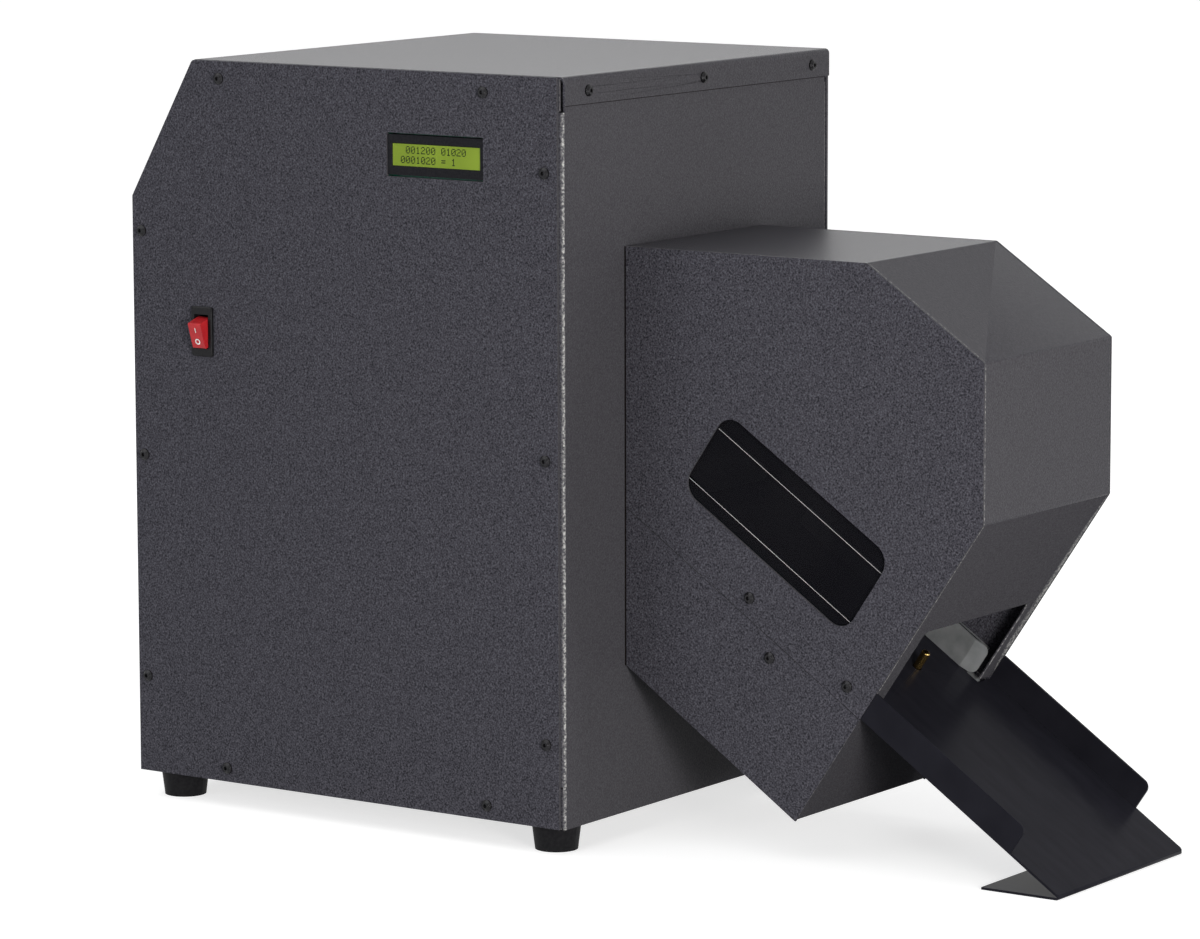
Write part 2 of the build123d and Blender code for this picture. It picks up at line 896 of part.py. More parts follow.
with BuildPart() as display_posts:
    with BuildSketch(upright(display_board_front)):
        with Locations(*post_points):
            Circle(display_post_diameter / 2)
    extrude(amount=display_board_front - front - panel)

# Rocker switch: a moulded body with a raised rim, and the rocker on its pins, tilted with its lower end in
switch_x = left + switch_from_left
switch_z = bottom + switch_rise
pivot_y = front + rocker_pivot_depth
with BuildPart() as switch_body:
    with BuildSketch(upright(front)):
        with Locations((switch_x, switch_z)):
            RectangleRounded(switch_bezel_width, switch_bezel_height, sheet)
    extrude(amount=switch_bezel_stand)
    chamfer(switch_body.faces().sort_by(Axis.Y)[0].outer_wire().edges(), switch_bezel_stand / 3)
    with BuildSketch(upright(front + switch_body_depth)):
        with Locations((switch_x, switch_z)):
            Rectangle(switch_body_width, switch_body_height)
    extrude(amount=switch_body_depth)
    with BuildSketch(upright(front - switch_bezel_stand)):
        with Locations((switch_x, switch_z)):
            Rectangle(rocker_width + 2 * rocker_side_gap, switch_pocket_height)
    extrude(amount=-switch_pocket_depth - switch_bezel_stand, mode=Mode.SUBTRACT)
    with Locations(Location((switch_x, pivot_y, switch_z), towards_right)):
        Cylinder(rocker_pivot_diameter / 2 + running_fit, rocker_pivot_length + slip, mode=Mode.SUBTRACT)
    with BuildSketch(upright(front + switch_body_depth)):
        with Locations((switch_x, switch_z)):
            with GridLocations(0, switch_body_height / 3, 1, 3):
                Rectangle(switch_body_width / 2, panel_gap * 3)
    extrude(amount=-switch_tab_length)

with BuildPart() as power_rocker:
    rocker_plane = Plane(
        origin=(switch_x + rocker_width / 2, pivot_y, switch_z),
        x_dir=(0, -cos(rocker_tilt), -sin(rocker_tilt)),
        z_dir=(-1, 0, 0),
    )
    with BuildSketch(rocker_plane):
        with Locations(((rocker_face - rocker_back) / 2, 0)):
            RectangleRounded(rocker_face + rocker_back, rocker_height, rocker_edge)
    extrude(amount=rocker_width)
    with Locations(Location((switch_x, pivot_y, switch_z), towards_right)):
        Cylinder(rocker_pivot_diameter / 2, rocker_pivot_length)

# Entry frame: a moulded frame on the slanted face, flared at its mouth, with a sleeve through the slot
with BuildPart() as entry_frame:
    with BuildSketch(entry_plane):
        RectangleRounded(
            passage_width + 2 * entry_margin_side,
            passage_height + 2 * entry_margin_end,
            entry_margin_end / 2,
        )
    extrude(amount=entry_frame_thickness)
    chamfer(entry_frame.faces().sort_by(Axis((0, 0, 0), face_out))[-1].edges(), entry_frame_thickness / 5)
    with BuildSketch(entry_plane):
        Rectangle(passage_width + 2 * entry_sleeve_wall, passage_height + 2 * entry_sleeve_wall)
    extrude(amount=-entry_sleeve)
    with BuildSketch(entry_plane.offset(entry_frame_thickness)):
        Rectangle(passage_width, passage_height)
    extrude(amount=-entry_frame_thickness - entry_sleeve, mode=Mode.SUBTRACT)
    mouth = entry_frame.faces().sort_by(Axis((0, 0, 0), face_out))[-1].inner_wires()[0].edges()
    chamfer(mouth, entry_flare)

# Coil: a flanged former round the passage, its winding, and the folded cradle under the flanges
former_start = coil_middle - former_length / 2
former_end = coil_middle + former_length / 2
winding_width = passage_width + 2 * former_wall + 2 * winding_build
winding_height = passage_height + 2 * former_wall + 2 * winding_build
with BuildPart() as coil_former:
    with BuildSketch(square_to(former_start)):
        with Locations((path_y, passage_middle)):
            Rectangle(winding_width + 2 * flange_margin, winding_height + 2 * flange_margin)
    extrude(amount=former_flange)
    with BuildSketch(square_to(former_end)):
        with Locations((path_y, passage_middle)):
            Rectangle(winding_width + 2 * flange_margin, winding_height + 2 * flange_margin)
    extrude(amount=-former_flange)
    with BuildSketch(square_to(former_start)):
        with Locations((path_y, passage_middle)):
            Rectangle(passage_width + 2 * former_wall, passage_height + 2 * former_wall)
    extrude(amount=former_length)
    with BuildSketch(square_to(former_start)):
        with Locations((path_y, passage_middle)):
            Rectangle(passage_width, passage_height)
    extrude(amount=former_length, mode=Mode.SUBTRACT)

with BuildPart() as coil_winding:
    with BuildSketch(square_to(former_start + former_flange)):
        with Locations((path_y, passage_middle)):
            RectangleRounded(winding_width, winding_height, winding_corner)
            Rectangle(passage_width + 2 * former_wall, passage_height + 2 * former_wall, mode=Mode.SUBTRACT)
    extrude(amount=former_length - 2 * former_flange)

cradle_w = passage_middle - winding_height / 2 - flange_margin
cradle_left = on_slide(former_start + cradle_end_inset, cradle_w)[0]
cradle_right = on_slide(former_end - cradle_end_inset, cradle_w)[0]
cradle_floor = inside_floor + cradle_sheet
with BuildPart() as coil_cradle:
    extrude(
        bent_section(
            upright(path_y + cradle_width / 2),
            [
                (cradle_left - cradle_foot, cradle_floor),
                (cradle_left, cradle_floor),
                (cradle_left, slide_height(cradle_left, cradle_w)),
                (cradle_right, slide_height(cradle_right, cradle_w)),
                (cradle_right, inside_floor),
                (cradle_right - cradle_foot, inside_floor),
            ],
            cradle_sheet,
            bend,
            Side.LEFT,
        ),
        amount=cradle_width,
    )

# Drive slides above and below the coil
upper_slide_start = entry_u + entry_sleeve + panel
with BuildPart() as drive_slide_upper:
    extrude(
        channel_section(
            square_to(upper_slide_start), path_y, passage_width, path_rise, slide_wall, slide_sheet
        ),
        amount=former_start - upper_slide_start,
    )

lower_slide_end = bay_slide_start - panel_gap
with BuildPart() as drive_slide_lower:
    extrude(
        channel_section(square_to(former_end), path_y, passage_width, path_rise, slide_wall, slide_sheet),
        amount=lower_slide_end - former_end,
    )
    with BuildSketch(lying(path_rise)):
        with Locations((coil_stop_u, path_y)):
            Circle(stop_pin_hole / 2)
    extrude(amount=-slide_sheet, mode=Mode.SUBTRACT)


def stop_solenoid(u, y):
    """A solenoid hung under the slide at u and y: an open steel frame round a bored, wound bobbin."""
    with BuildPart() as solenoid:
        with BuildSketch(across(y + solenoid_width / 2)):
            with Locations((u, floor_under)):
                Rectangle(solenoid_length, solenoid_height, align=(Align.CENTER, Align.MAX))
            with Locations((u, floor_under - solenoid_frame)):
                Rectangle(
                    solenoid_length - 2 * solenoid_frame,
                    solenoid_height - 2 * solenoid_frame,
                    align=(Align.CENTER, Align.MAX),
                    mode=Mode.SUBTRACT,
                )
        extrude(amount=solenoid_width)
        with BuildSketch(lying(floor_under - solenoid_frame)):
            with Locations((u, y)):
                Circle(solenoid_length / 2 - solenoid_frame - panel_gap)
        extrude(amount=-solenoid_height + 2 * solenoid_frame)
        with BuildSketch(lying(floor_under)):
            with Locations((u, y)):
                Circle(plunger_diameter / 2 + plunger_fit)
        extrude(amount=-solenoid_height + solenoid_frame, mode=Mode.SUBTRACT)
    return solenoid


def stop_pin(u, y):
    """A turned brass pin through the slide's floor, on the plunger that draws it down."""
    plunger_top = floor_under - plunger_top_drop
    with BuildPart() as pin:
        with BuildSketch(lying(plunger_top)):
            with Locations((u, y)):
                Circle(plunger_diameter / 2)
        extrude(amount=-plunger_length)
        with BuildSketch(lying(plunger_top)):
            with Locations((u, y)):
                Circle(stop_pin_diameter / 2)
        extrude(amount=path_rise + stop_pin_stand - plunger_top)
        tip = pin.edges().filter_by(GeomType.CIRCLE).sort_by(Axis((0, 0, 0), up_slide))[-1]
        fillet(tip, stop_pin_diameter / 5)
    return pin


exit_stop_y = path_y + exit_stop_offset
coil_stop_solenoid = stop_solenoid(coil_stop_u, path_y)
coil_stop_pin = stop_pin(coil_stop_u, path_y)
exit_stop_solenoid = stop_solenoid(exit_stop_distance, exit_stop_y)
exit_stop_pin = stop_pin(exit_stop_distance, exit_stop_y)

# Energy capacitors: two steel cans side by side, their terminals, the strap over them and the two bus bars
capacitor_x = right - capacitor_from_right
can_points = [(capacitor_x, path_y - capacitor_spacing / 2), (capacitor_x, path_y + capacitor_spacing / 2)]
can_top = inside_floor + capacitor_height
with BuildPart() as energy_capacitors:
    with BuildSketch(Plane.XY.offset(inside_floor)):
        with Locations(*can_points):
            RectangleRounded(capacitor_length, capacitor_width, capacitor_corner)
    extrude(amount=capacitor_height)
    fillet(energy_capacitors.edges().group_by(Axis.Z)[-1], bend)

terminal_points = [(x + i * terminal_spacing / 2, y) for x, y in can_points for i in (-1, 1)]
with BuildPart() as capacitor_terminals:
    with BuildSketch(Plane.XY.offset(can_top)):
        with Locations(*terminal_points):
            Circle(terminal_diameter / 2)
    extrude(amount=terminal_height / 2)
    with BuildSketch(Plane.XY.offset(can_top + terminal_height / 2)):
        with Locations(*terminal_points):
            Circle(terminal_neck_diameter / 2)
    extrude(amount=terminal_height / 2)
    with BuildSketch(Plane.XY.offset(can_top + terminal_height)):
        with Locations(*terminal_points):
            Circle(stud_diameter / 2)
    extrude(amount=stud_height)

with BuildPart() as bus_bars:
    with BuildSketch(Plane.XY.offset(can_top + terminal_height)):
        with Locations(*[(capacitor_x + i * terminal_spacing / 2, path_y) for i in (-1, 1)]):
            RectangleRounded(bus_bar_width, capacitor_spacing + 2 * bus_bar_overhang, bend)
        with Locations(*terminal_points):
            Circle(stud_diameter / 2 + slip, mode=Mode.SUBTRACT)
    extrude(amount=bus_bar_thickness)

strap_front = path_y - capacitor_spacing / 2 - capacitor_width / 2 - slip
strap_back = path_y + capacitor_spacing / 2 + capacitor_width / 2 + slip
with BuildPart() as capacitor_strap:
    strap_floor = inside_floor + sheet
    extrude(
        bent_section(
            Plane(origin=(capacitor_x - strap_width / 2, 0, 0), x_dir=(0, 1, 0), z_dir=(1, 0, 0)),
            [
                (strap_front - sheet - strap_foot, strap_floor),
                (strap_front - sheet, strap_floor),
                (strap_front - sheet, can_top + sheet),
                (strap_back + sheet, can_top + sheet),
                (strap_back + sheet, strap_floor),
                (strap_back + sheet + strap_foot, strap_floor),
            ],
            sheet,
            bend,
            Side.RIGHT,
        ),
        amount=strap_width,
    )

# Charging transformer: a laminated core on its base, and the winding round the middle limb
core_x = right - core_from_right
core_y = front + core_from_front
core_low = inside_floor + core_base
core_window = (core_width - core_limb - 2 * core_yoke) / 2
with BuildPart() as transformer_core:
    with BuildSketch(Plane.XY.offset(inside_floor)):
        with Locations((core_x, core_y)):
            Rectangle(core_width, core_base_depth)
    extrude(amount=core_base)
    with BuildSketch(upright(core_y + core_stack / 2)):
        with Locations((core_x, core_low)):
            Rectangle(core_width, core_height, align=(Align.CENTER, Align.MIN))
        with Locations((core_x, core_low + core_height / 2)):
            with GridLocations(core_limb + core_window, 0, 2, 1):
                Rectangle(core_window, core_height - 2 * core_yoke, mode=Mode.SUBTRACT)
    extrude(amount=core_stack)

winding_wall = core_window - winding_margin
with BuildPart() as transformer_winding:
    with BuildSketch(Plane.XY.offset(core_low + core_yoke)):
        with Locations((core_x, core_y)):
            RectangleRounded(core_limb + 2 * winding_wall, core_stack + 2 * winding_wall, winding_wall / 2)
            Rectangle(core_limb, core_stack, mode=Mode.SUBTRACT)
    extrude(amount=core_height - 2 * core_yoke)

# Discharge thyristor on its finned heat sink
sink_x = right - heat_sink_from_right
sink_y = back - heat_sink_from_back
sink_top = inside_floor + fin_height + heat_sink_base
with BuildPart() as heat_sink:
    with BuildSketch(upright(sink_y + heat_sink_length / 2)):
        with Locations((sink_x, inside_floor + fin_height)):
            Rectangle(heat_sink_width, heat_sink_base, align=(Align.CENTER, Align.MIN))
        with Locations((sink_x, inside_floor + fin_height / 2)):
            with GridLocations((heat_sink_width - fin_thickness) / (fin_count - 1), 0, fin_count, 1):
                Rectangle(fin_thickness, fin_height)
    extrude(amount=heat_sink_length)

with BuildPart() as thyristor:
    with BuildSketch(Plane.XY.offset(sink_top)):
        with Locations((sink_x, sink_y)):
            Rectangle(thyristor_width, thyristor_length)
    extrude(amount=thyristor_height)
    with BuildSketch(Plane.XY.offset(sink_top + thyristor_height)):
        with Locations((sink_x, sink_y)):
            with GridLocations(0, thyristor_length / 4, 1, 3):
                Rectangle(thyristor_width / 2, thyristor_length / 6)
    extrude(amount=panel)

# Control board on posts along the left side panel
board_y = front + control_board_from_front
board_z = bottom + control_board_rise
board_face = left_face + sheet + control_post_length
left_inner = Plane(origin=(left_face + sheet, 0, 0), x_dir=(0, 1, 0), z_dir=(1, 0, 0))
with BuildPart() as control_posts:
    with BuildSketch(left_inner):
        with Locations((board_y, board_z)):
            with GridLocations(
                control_board_length - 2 * control_post_inset,
                control_board_height - 2 * control_post_inset,
                2,
                2,
            ):
                Circle(control_post_diameter / 2)
    extrude(amount=control_post_length)

with BuildPart() as control_board:
    with BuildSketch(left_inner.offset(control_post_length)):
        with Locations((board_y, board_z)):
            Rectangle(control_board_length, control_board_height)
    extrude(amount=board_thickness)
    with BuildSketch(left_inner.offset(control_post_length + board_thickness)):
        with Locations((board_y, board_z)):
            with Locations((-control_board_length / 5, control_board_height / 8)):
                Rectangle(control_board_length / 6, control_board_length / 6)
            with Locations((control_board_length / 5, control_board_height / 4)):
                Rectangle(control_board_length / 4, control_board_height / 8)
    extrude(amount=panel)
    with BuildSketch(left_inner.offset(control_post_length + board_thickness)):
        with Locations((board_y, board_z - control_board_height / 4)):
            with GridLocations(control_board_length / 5, 0, 4, 1):
                Rectangle(control_board_length / 8, control_board_height / 5)
    extrude(amount=control_post_length)

# Bay wrapper: the folded top, shoulder, side and exit face, with the exit opening
bay_left = side_face + bay_gap
bay_top_z = bottom + bay_top
bay_top_corner = (right + bay_top_run, bay_top_z)
bay_shoulder_corner = (right + bay_reach, bottom + bay_shoulder)
bay_side_low = bottom + (bay_reach * cos(slope) - exit_face) / sin(slope)
bay_side_corner = (right + bay_reach, bay_side_low)
with BuildPart() as bay_wrapper:
    extrude(
        bent_section(
            upright(bay_back - sheet),
            [
                (bay_left, bay_top_z),
                bay_top_corner,
                bay_shoulder_corner,
                bay_side_corner,
                on_slide(exit_face, wrapper_end),
            ],
            sheet,
            bay_bend,
            Side.RIGHT,
        ),
        amount=bay_depth - 2 * sheet,
    )
    with BuildSketch(square_to(exit_face)):
        with Locations((path_y, exit_top)):
            RectangleRounded(
                bay_depth - 2 * exit_strip,
                2 * (exit_top - seam),
                exit_corner,
                align=(Align.CENTER, Align.MAX),
            )
    extrude(amount=-2 * sheet, mode=Mode.SUBTRACT)

# Bay covers: flat plates over the wrapper's edges down to the seam; the front one has the window's opening
cover_points = [
    (bay_left, slide_height(bay_left, seam)),
    (bay_left, bay_top_z),
    bay_top_corner,
    bay_shoulder_corner,
    bay_side_corner,
    on_slide(exit_face, seam),
]
window_middle = ((window_start + window_end) / 2, (window_low + window_high) / 2)
window_length = window_end - window_start
window_height = window_high - window_low
upper_bay_screws = [point for point in bay_screw_points if point[1] > seam]
with BuildPart() as bay_front_cover:
    extrude(outline(upright(bay_front + sheet), cover_points), amount=sheet)
    bent_corners = bay_front_cover.edges().filter_by(Axis.Y).sort_by(Axis((0, 0, 0), (1, 0, 1)))[-3:]
    fillet(bent_corners, bay_bend)
    with BuildSketch(across(bay_front + sheet)):
        with Locations(window_middle):
            RectangleRounded(window_length, window_height, window_corner)
        with Locations(*upper_bay_screws):
            Circle(screw_hole / 2)
    extrude(amount=sheet, mode=Mode.SUBTRACT)

with BuildPart() as bay_back_cover:
    extrude(outline(upright(bay_back), cover_points), amount=sheet)
    bent_corners = bay_back_cover.edges().filter_by(Axis.Y).sort_by(Axis((0, 0, 0), (1, 0, 1)))[-3:]
    fillet(bent_corners, bay_bend)
    with BuildSketch(across(bay_back)):
        with Locations(*upper_bay_screws):
            Circle(screw_hole / 2)
    extrude(amount=sheet, mode=Mode.SUBTRACT)

with BuildPart() as bay_window:
    with BuildSketch(across(bay_front + sheet + window_thickness)):
        with Locations(window_middle):
            RectangleRounded(
                window_length + 2 * window_overlap,
                window_height + 2 * window_overlap,
                window_corner + window_overlap,
            )
    extrude(amount=window_thickness)

# Bay tray below the seam: front and back walls joined by the folded underside and lower exit face
tray_top = seam - seam_gap
tray_points = [
    (bay_left, slide_height(bay_left, tray_top)),
    on_slide(exit_face, tray_top),
    on_slide(exit_face, bay_underside),
    (bay_left, slide_height(bay_left, bay_underside)),
]
with BuildPart() as bay_tray:
    extrude(
        bent_section(
            upright(bay_back - sheet),
            [
                (bay_left, slide_height(bay_left, bay_underside)),
                on_slide(exit_face, bay_underside),
                on_slide(exit_face, tray_top),
            ],
            sheet,
            bay_bend,
            Side.LEFT,
        ),
        amount=bay_depth - 2 * sheet,
    )
    extrude(outline(upright(bay_front + sheet), tray_points), amount=sheet)
    extrude(outline(upright(bay_back), tray_points), amount=sheet)
    with BuildSketch(across(bay_back)):
        with Locations(*bay_screw_points):
            Circle(screw_hole / 2)
    extrude(amount=bay_depth, mode=Mode.SUBTRACT)

# Seam straps behind the seam, front and back, that the covers, tray and bay slide are screwed to
with BuildPart() as seam_straps:
    strap_middle = ((strap_start + strap_end) / 2, (strap_low + strap_high) / 2)
    with BuildSketch(across(bay_front + sheet + strap_plate)):
        with Locations(strap_middle):
            Rectangle(strap_end - strap_start, strap_high - strap_low)
    extrude(amount=strap_plate)
    with BuildSketch(across(bay_back - sheet)):
        with Locations(strap_middle):
            Rectangle(strap_end - strap_start, strap_high - strap_low)
    extrude(amount=strap_plate)
    with BuildSketch(across(bay_back)):
        with Locations(*bay_screw_points):
            Circle(screw_hole / 2)
    extrude(amount=bay_depth, mode=Mode.SUBTRACT)

# Bay slide: the floor of the bay, its turned-up flanges against the straps, notched for the chute's tongue
bay_slide_width = bay_depth - 2 * sheet - 2 * strap_plate - 2 * slide_sheet
with BuildPart() as bay_slide:
    extrude(
        channel_section(
            square_to(bay_slide_start),
            path_y,
            bay_slide_width,
            path_rise,
            strap_high - path_rise,
            slide_sheet,
        ),
        amount=bay_slide_end - bay_slide_start,
    )
    with BuildSketch(lying(path_rise)):
        with Locations((tongue_start - tongue_gap, path_y)):
            Rectangle(
                bay_slide_end,
                tongue_width + 2 * tongue_gap,
                align=(Align.MIN, Align.CENTER),
            )
    extrude(amount=-slide_sheet, mode=Mode.SUBTRACT)
    with BuildSketch(across(bay_back)):
        with Locations(*upper_bay_screws):
            Circle(screw_hole / 2)
    extrude(amount=bay_depth, mode=Mode.SUBTRACT)

bay_screw = button_screw(bay_screw_length)
bay_screw_places = [on_slide(u, w) for u, w in bay_screw_points]
with BuildPart() as bay_screws:
    with Locations(*[Location((x, bay_front, z), towards_front) for x, z in bay_screw_places]):
        add(bay_screw)
    with Locations(*[Location((x, bay_back, z), towards_back) for x, z in bay_screw_places]):
        add(bay_screw)

# Mount frame: a folded frame inside the bay, screwed to the cabinet's side round the passage
with BuildPart() as bay_mount_frame:
    frame_low = bottom + mount_frame_low
    frame_high = bay_top_z - sheet - slip
    frame_width = bay_depth - 2 * sheet - 2 * slip
    with BuildSketch(side_plane):
        with Locations((path_y, (frame_low + frame_high) / 2)):
            Rectangle(frame_width, frame_high - frame_low)
    extrude(amount=mount_frame_depth)
    with BuildSketch(side_plane.offset(sheet)):
        with Locations((path_y, (frame_low + frame_high) / 2)):
            Rectangle(frame_width - 2 * sheet, frame_high - frame_low - 2 * sheet)
    extrude(amount=mount_frame_depth, mode=Mode.SUBTRACT)
    with BuildSketch(side_plane):
        with Locations((path_y, (wall_passage_low + wall_passage_high) / 2)):
            Rectangle(wall_passage_width, wall_passage_high - wall_passage_low)
        with Locations(*mount_screw_points):
            Circle(screw_hole / 2)
    extrude(amount=sheet, mode=Mode.SUBTRACT)

with BuildPart() as bay_mount_screws:
    with Locations(*[Location((side_face + sheet, y, z), towards_right) for y, z in mount_screw_points]):
        add(front_screw)

# Side rails: zinc-plated guides on the bay's floor, flared at the exit
rail_y = bay_back - exit_strip - rail_from_strip
with BuildPart() as side_rails:
    extrude(
        bent_section(
            lying(path_rise),
            [(rail_start, rail_y), (rail_bend, rail_y), (rail_end, rail_y + rail_flare)],
            sheet,
            bend,
            Side.LEFT,
        ),
        amount=rail_height,
    )
    end_edges = side_rails.edges().filter_by(lambda edge: abs(edge.length - sheet) < 0.01)
    fillet(end_edges.group_by(Axis((0, 0, 0), down_slide))[-1], rail_corner)
    with BuildSketch(lying(path_rise)):
        with Locations((rail_start, rail_y + sheet)):
            Rectangle(rail_bend - rail_start, rail_foot, align=(Align.MIN, Align.MIN))
    extrude(amount=sheet)
    mirror(about=Plane(origin=(0, path_y, 0), z_dir=(0, 1, 0)))

# Chute ledge: an angle inside the lower exit face that carries the bay slide's end and the chute's tongue,
# cut out round the exit stop
ledge_face = exit_face - sheet
with BuildPart() as chute_ledge:
    extrude(
        bent_section(
            across(bay_back - sheet - ledge_margin),
            [
                (ledge_start, floor_under),
                (ledge_face, floor_under),
                (ledge_face, floor_under - ledge_drop),
            ],
            sheet,
            bend,
            Side.RIGHT,
        ),
        amount=bay_depth - 2 * sheet - 2 * ledge_margin,
    )
    with BuildSketch(lying(floor_under)):
        with Locations((exit_stop_distance, exit_stop_y)):
            Rectangle(solenoid_length + ledge_clearance, solenoid_width + ledge_clearance)
    extrude(amount=-sheet, mode=Mode.SUBTRACT)

# Camera over the bay: a bracket on the back cover, its housing, the lens through the shelf and a light bar
camera_y = path_y
shelf_front = camera_y - bracket_overhang
with BuildPart() as camera_bracket:
    extrude(
        bent_section(
            square_to(camera_u - bracket_length / 2),
            [
                (shelf_front, camera_rise),
                (bay_back - sheet, camera_rise),
                (bay_back - sheet, camera_rise - bracket_leg),
            ],
            sheet,
            bend,
            Side.RIGHT,
        ),
        amount=bracket_length,
    )
    with BuildSketch(lying(camera_rise)):
        with Locations((camera_u, camera_y)):
            Circle(lens_diameter / 2 + lens_hole_gap)
    extrude(amount=-sheet, mode=Mode.SUBTRACT)

with BuildPart() as camera_housing:
    with BuildSketch(lying(camera_rise)):
        with Locations((camera_u, camera_y)):
            RectangleRounded(camera_size, camera_size, bend)
    extrude(amount=camera_height)

with BuildPart() as camera_lens:
    with BuildSketch(lying(camera_rise)):
        with Locations((camera_u, camera_y)):
            Circle(lens_diameter / 2)
    extrude(amount=-lens_length + lens_step)
    with BuildSketch(lying(camera_rise - lens_length + lens_step)):
        with Locations((camera_u, camera_y)):
            Circle(lens_diameter / 2 - panel)
            Circle(lens_diameter / 4, mode=Mode.SUBTRACT)
    extrude(amount=-lens_step)

with BuildPart() as light_bar:
    with BuildSketch(lying(camera_rise - sheet)):
        with Locations((camera_u, shelf_front)):
            Rectangle(light_length, light_width, align=(Align.CENTER, Align.MIN))
    extrude(amount=-light_height)

# Exit chute: one folded sheet, with a tongue on the ledge, side flanges, and a lip folded back as its foot
lip_x = right + lip_corner
with BuildPart() as exit_chute:
    extrude(
        bent_section(
            upright(bay_back),
            [on_slide(tongue_start, path_rise), (lip_x, 0), (lip_x - chute_foot, 0)],
            slide_sheet,
            chute_bend,
            Side.RIGHT,
        ),
        amount=bay_depth,
    )
    with BuildSketch(lying(path_rise)):
        with Locations((chute_flange_start, bay_front), (chute_flange_start, bay_back)):
            Rectangle(
                2 * (chute_flange_start - tongue_start) + sheet,
                bay_depth - tongue_width,
            )
        with Locations((chute_flange_start, path_y)):
            Rectangle(lip_corner, 2 * bay_depth, align=(Align.MIN, Align.CENTER), mode=Mode.SUBTRACT)
    extrude(amount=-2 * slide_sheet, mode=Mode.SUBTRACT)
    with BuildSketch(lying(path_rise)):
        with Locations((exit_stop_distance, exit_stop_y)):
            Circle(stop_pin_hole / 2)
    extrude(amount=-slide_sheet, mode=Mode.SUBTRACT)
    for end_y, centre_y in ((bay_front, bay_front + lip_round_start), (bay_back, bay_back - lip_round_start)):
        with BuildSketch():
            with Locations((right + chute_reach, end_y)):
                Rectangle(2 * lip_round_start, 2 * lip_round_start)
            with Locations((right + chute_reach - lip_round_start, centre_y)):
                Circle(lip_round, mode=Mode.SUBTRACT)
        extrude(amount=2 * lip_round, mode=Mode.SUBTRACT)
    for flange_back in (bay_front + slide_sheet, bay_back):
        with BuildSketch(across(flange_back)) as flange:
            with Locations((chute_flange_start, floor_under)):
                Rectangle(
                    chute_flange_end - chute_flange_start,
                    slide_sheet + chute_flange_height,
                    align=(Align.MIN, Align.MIN),
                )
            outer_corner = flange.vertices().sort_by(Axis((0, 0, 0), (1, 1, 0)))[-1]
            fillet(outer_corner, chute_corner)
        extrude(amount=slide_sheet)

pieces = {
    "base_pan": base_pan,
    "rubber_feet": rubber_feet,
    "foot_screws": foot_screws,
    "front_panel": front_panel,
    "front_panel_screws": front_panel_screws,
    "right_side_panel": right_side_panel,
    "left_side_panel": left_side_panel,
    "top_cover": top_cover,
    "top_cover_screws": top_cover_screws,
    "rear_panel": rear_panel,
    "rear_panel_screws": rear_panel_screws,
    "power_inlet": power_inlet,
    "fan_frame": fan_frame,
    "fan_rotor": fan_rotor,
    "display_frame": display_frame,
    "display_glass": display_glass,
    "display_board": display_board,
    "display_posts": display_posts,
    "switch_body": switch_body,
    "power_rocker": power_rocker,
    "entry_frame": entry_frame,
    "coil_former": coil_former,
    "coil_winding": coil_winding,
    "coil_cradle": coil_cradle,
    "drive_slide_upper": drive_slide_upper,
    "drive_slide_lower": drive_slide_lower,
    "coil_stop_solenoid": coil_stop_solenoid,
    "coil_stop_pin": coil_stop_pin,
    "energy_capacitors": energy_capacitors,
    "capacitor_terminals": capacitor_terminals,
    "bus_bars": bus_bars,
    "capacitor_strap": capacitor_strap,
    "transformer_core": transformer_core,
    "transformer_winding": transformer_winding,
    "heat_sink": heat_sink,
    "thyristor": thyristor,
    "control_posts": control_posts,
    "control_board": control_board,
    "bay_wrapper": bay_wrapper,
    "bay_front_cover": bay_front_cover,
    "bay_back_cover": bay_back_cover,
    "bay_window": bay_window,
    "bay_tray": bay_tray,
    "seam_straps": seam_straps,
    "bay_slide": bay_slide,
    "bay_screws": bay_screws,
    "bay_mount_frame": bay_mount_frame,
    "bay_mount_screws": bay_mount_screws,
    "side_rails": side_rails,
    "chute_ledge": chute_ledge,
    "exit_stop_solenoid": exit_stop_solenoid,
    "exit_stop_pin": exit_stop_pin,
    "camera_bracket": camera_bracket,
    "camera_housing": camera_housing,
    "camera_lens": camera_lens,
    "light_bar": light_bar,
    "exit_chute": exit_chute,
}
for name, piece in pieces.items():
    piece.part.label = name
    export_step(piece.part, f"parts/{name}.step")
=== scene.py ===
import json
from math import cos, radians, sin

import bpy
import numpy as np
from mathutils import Matrix, Vector


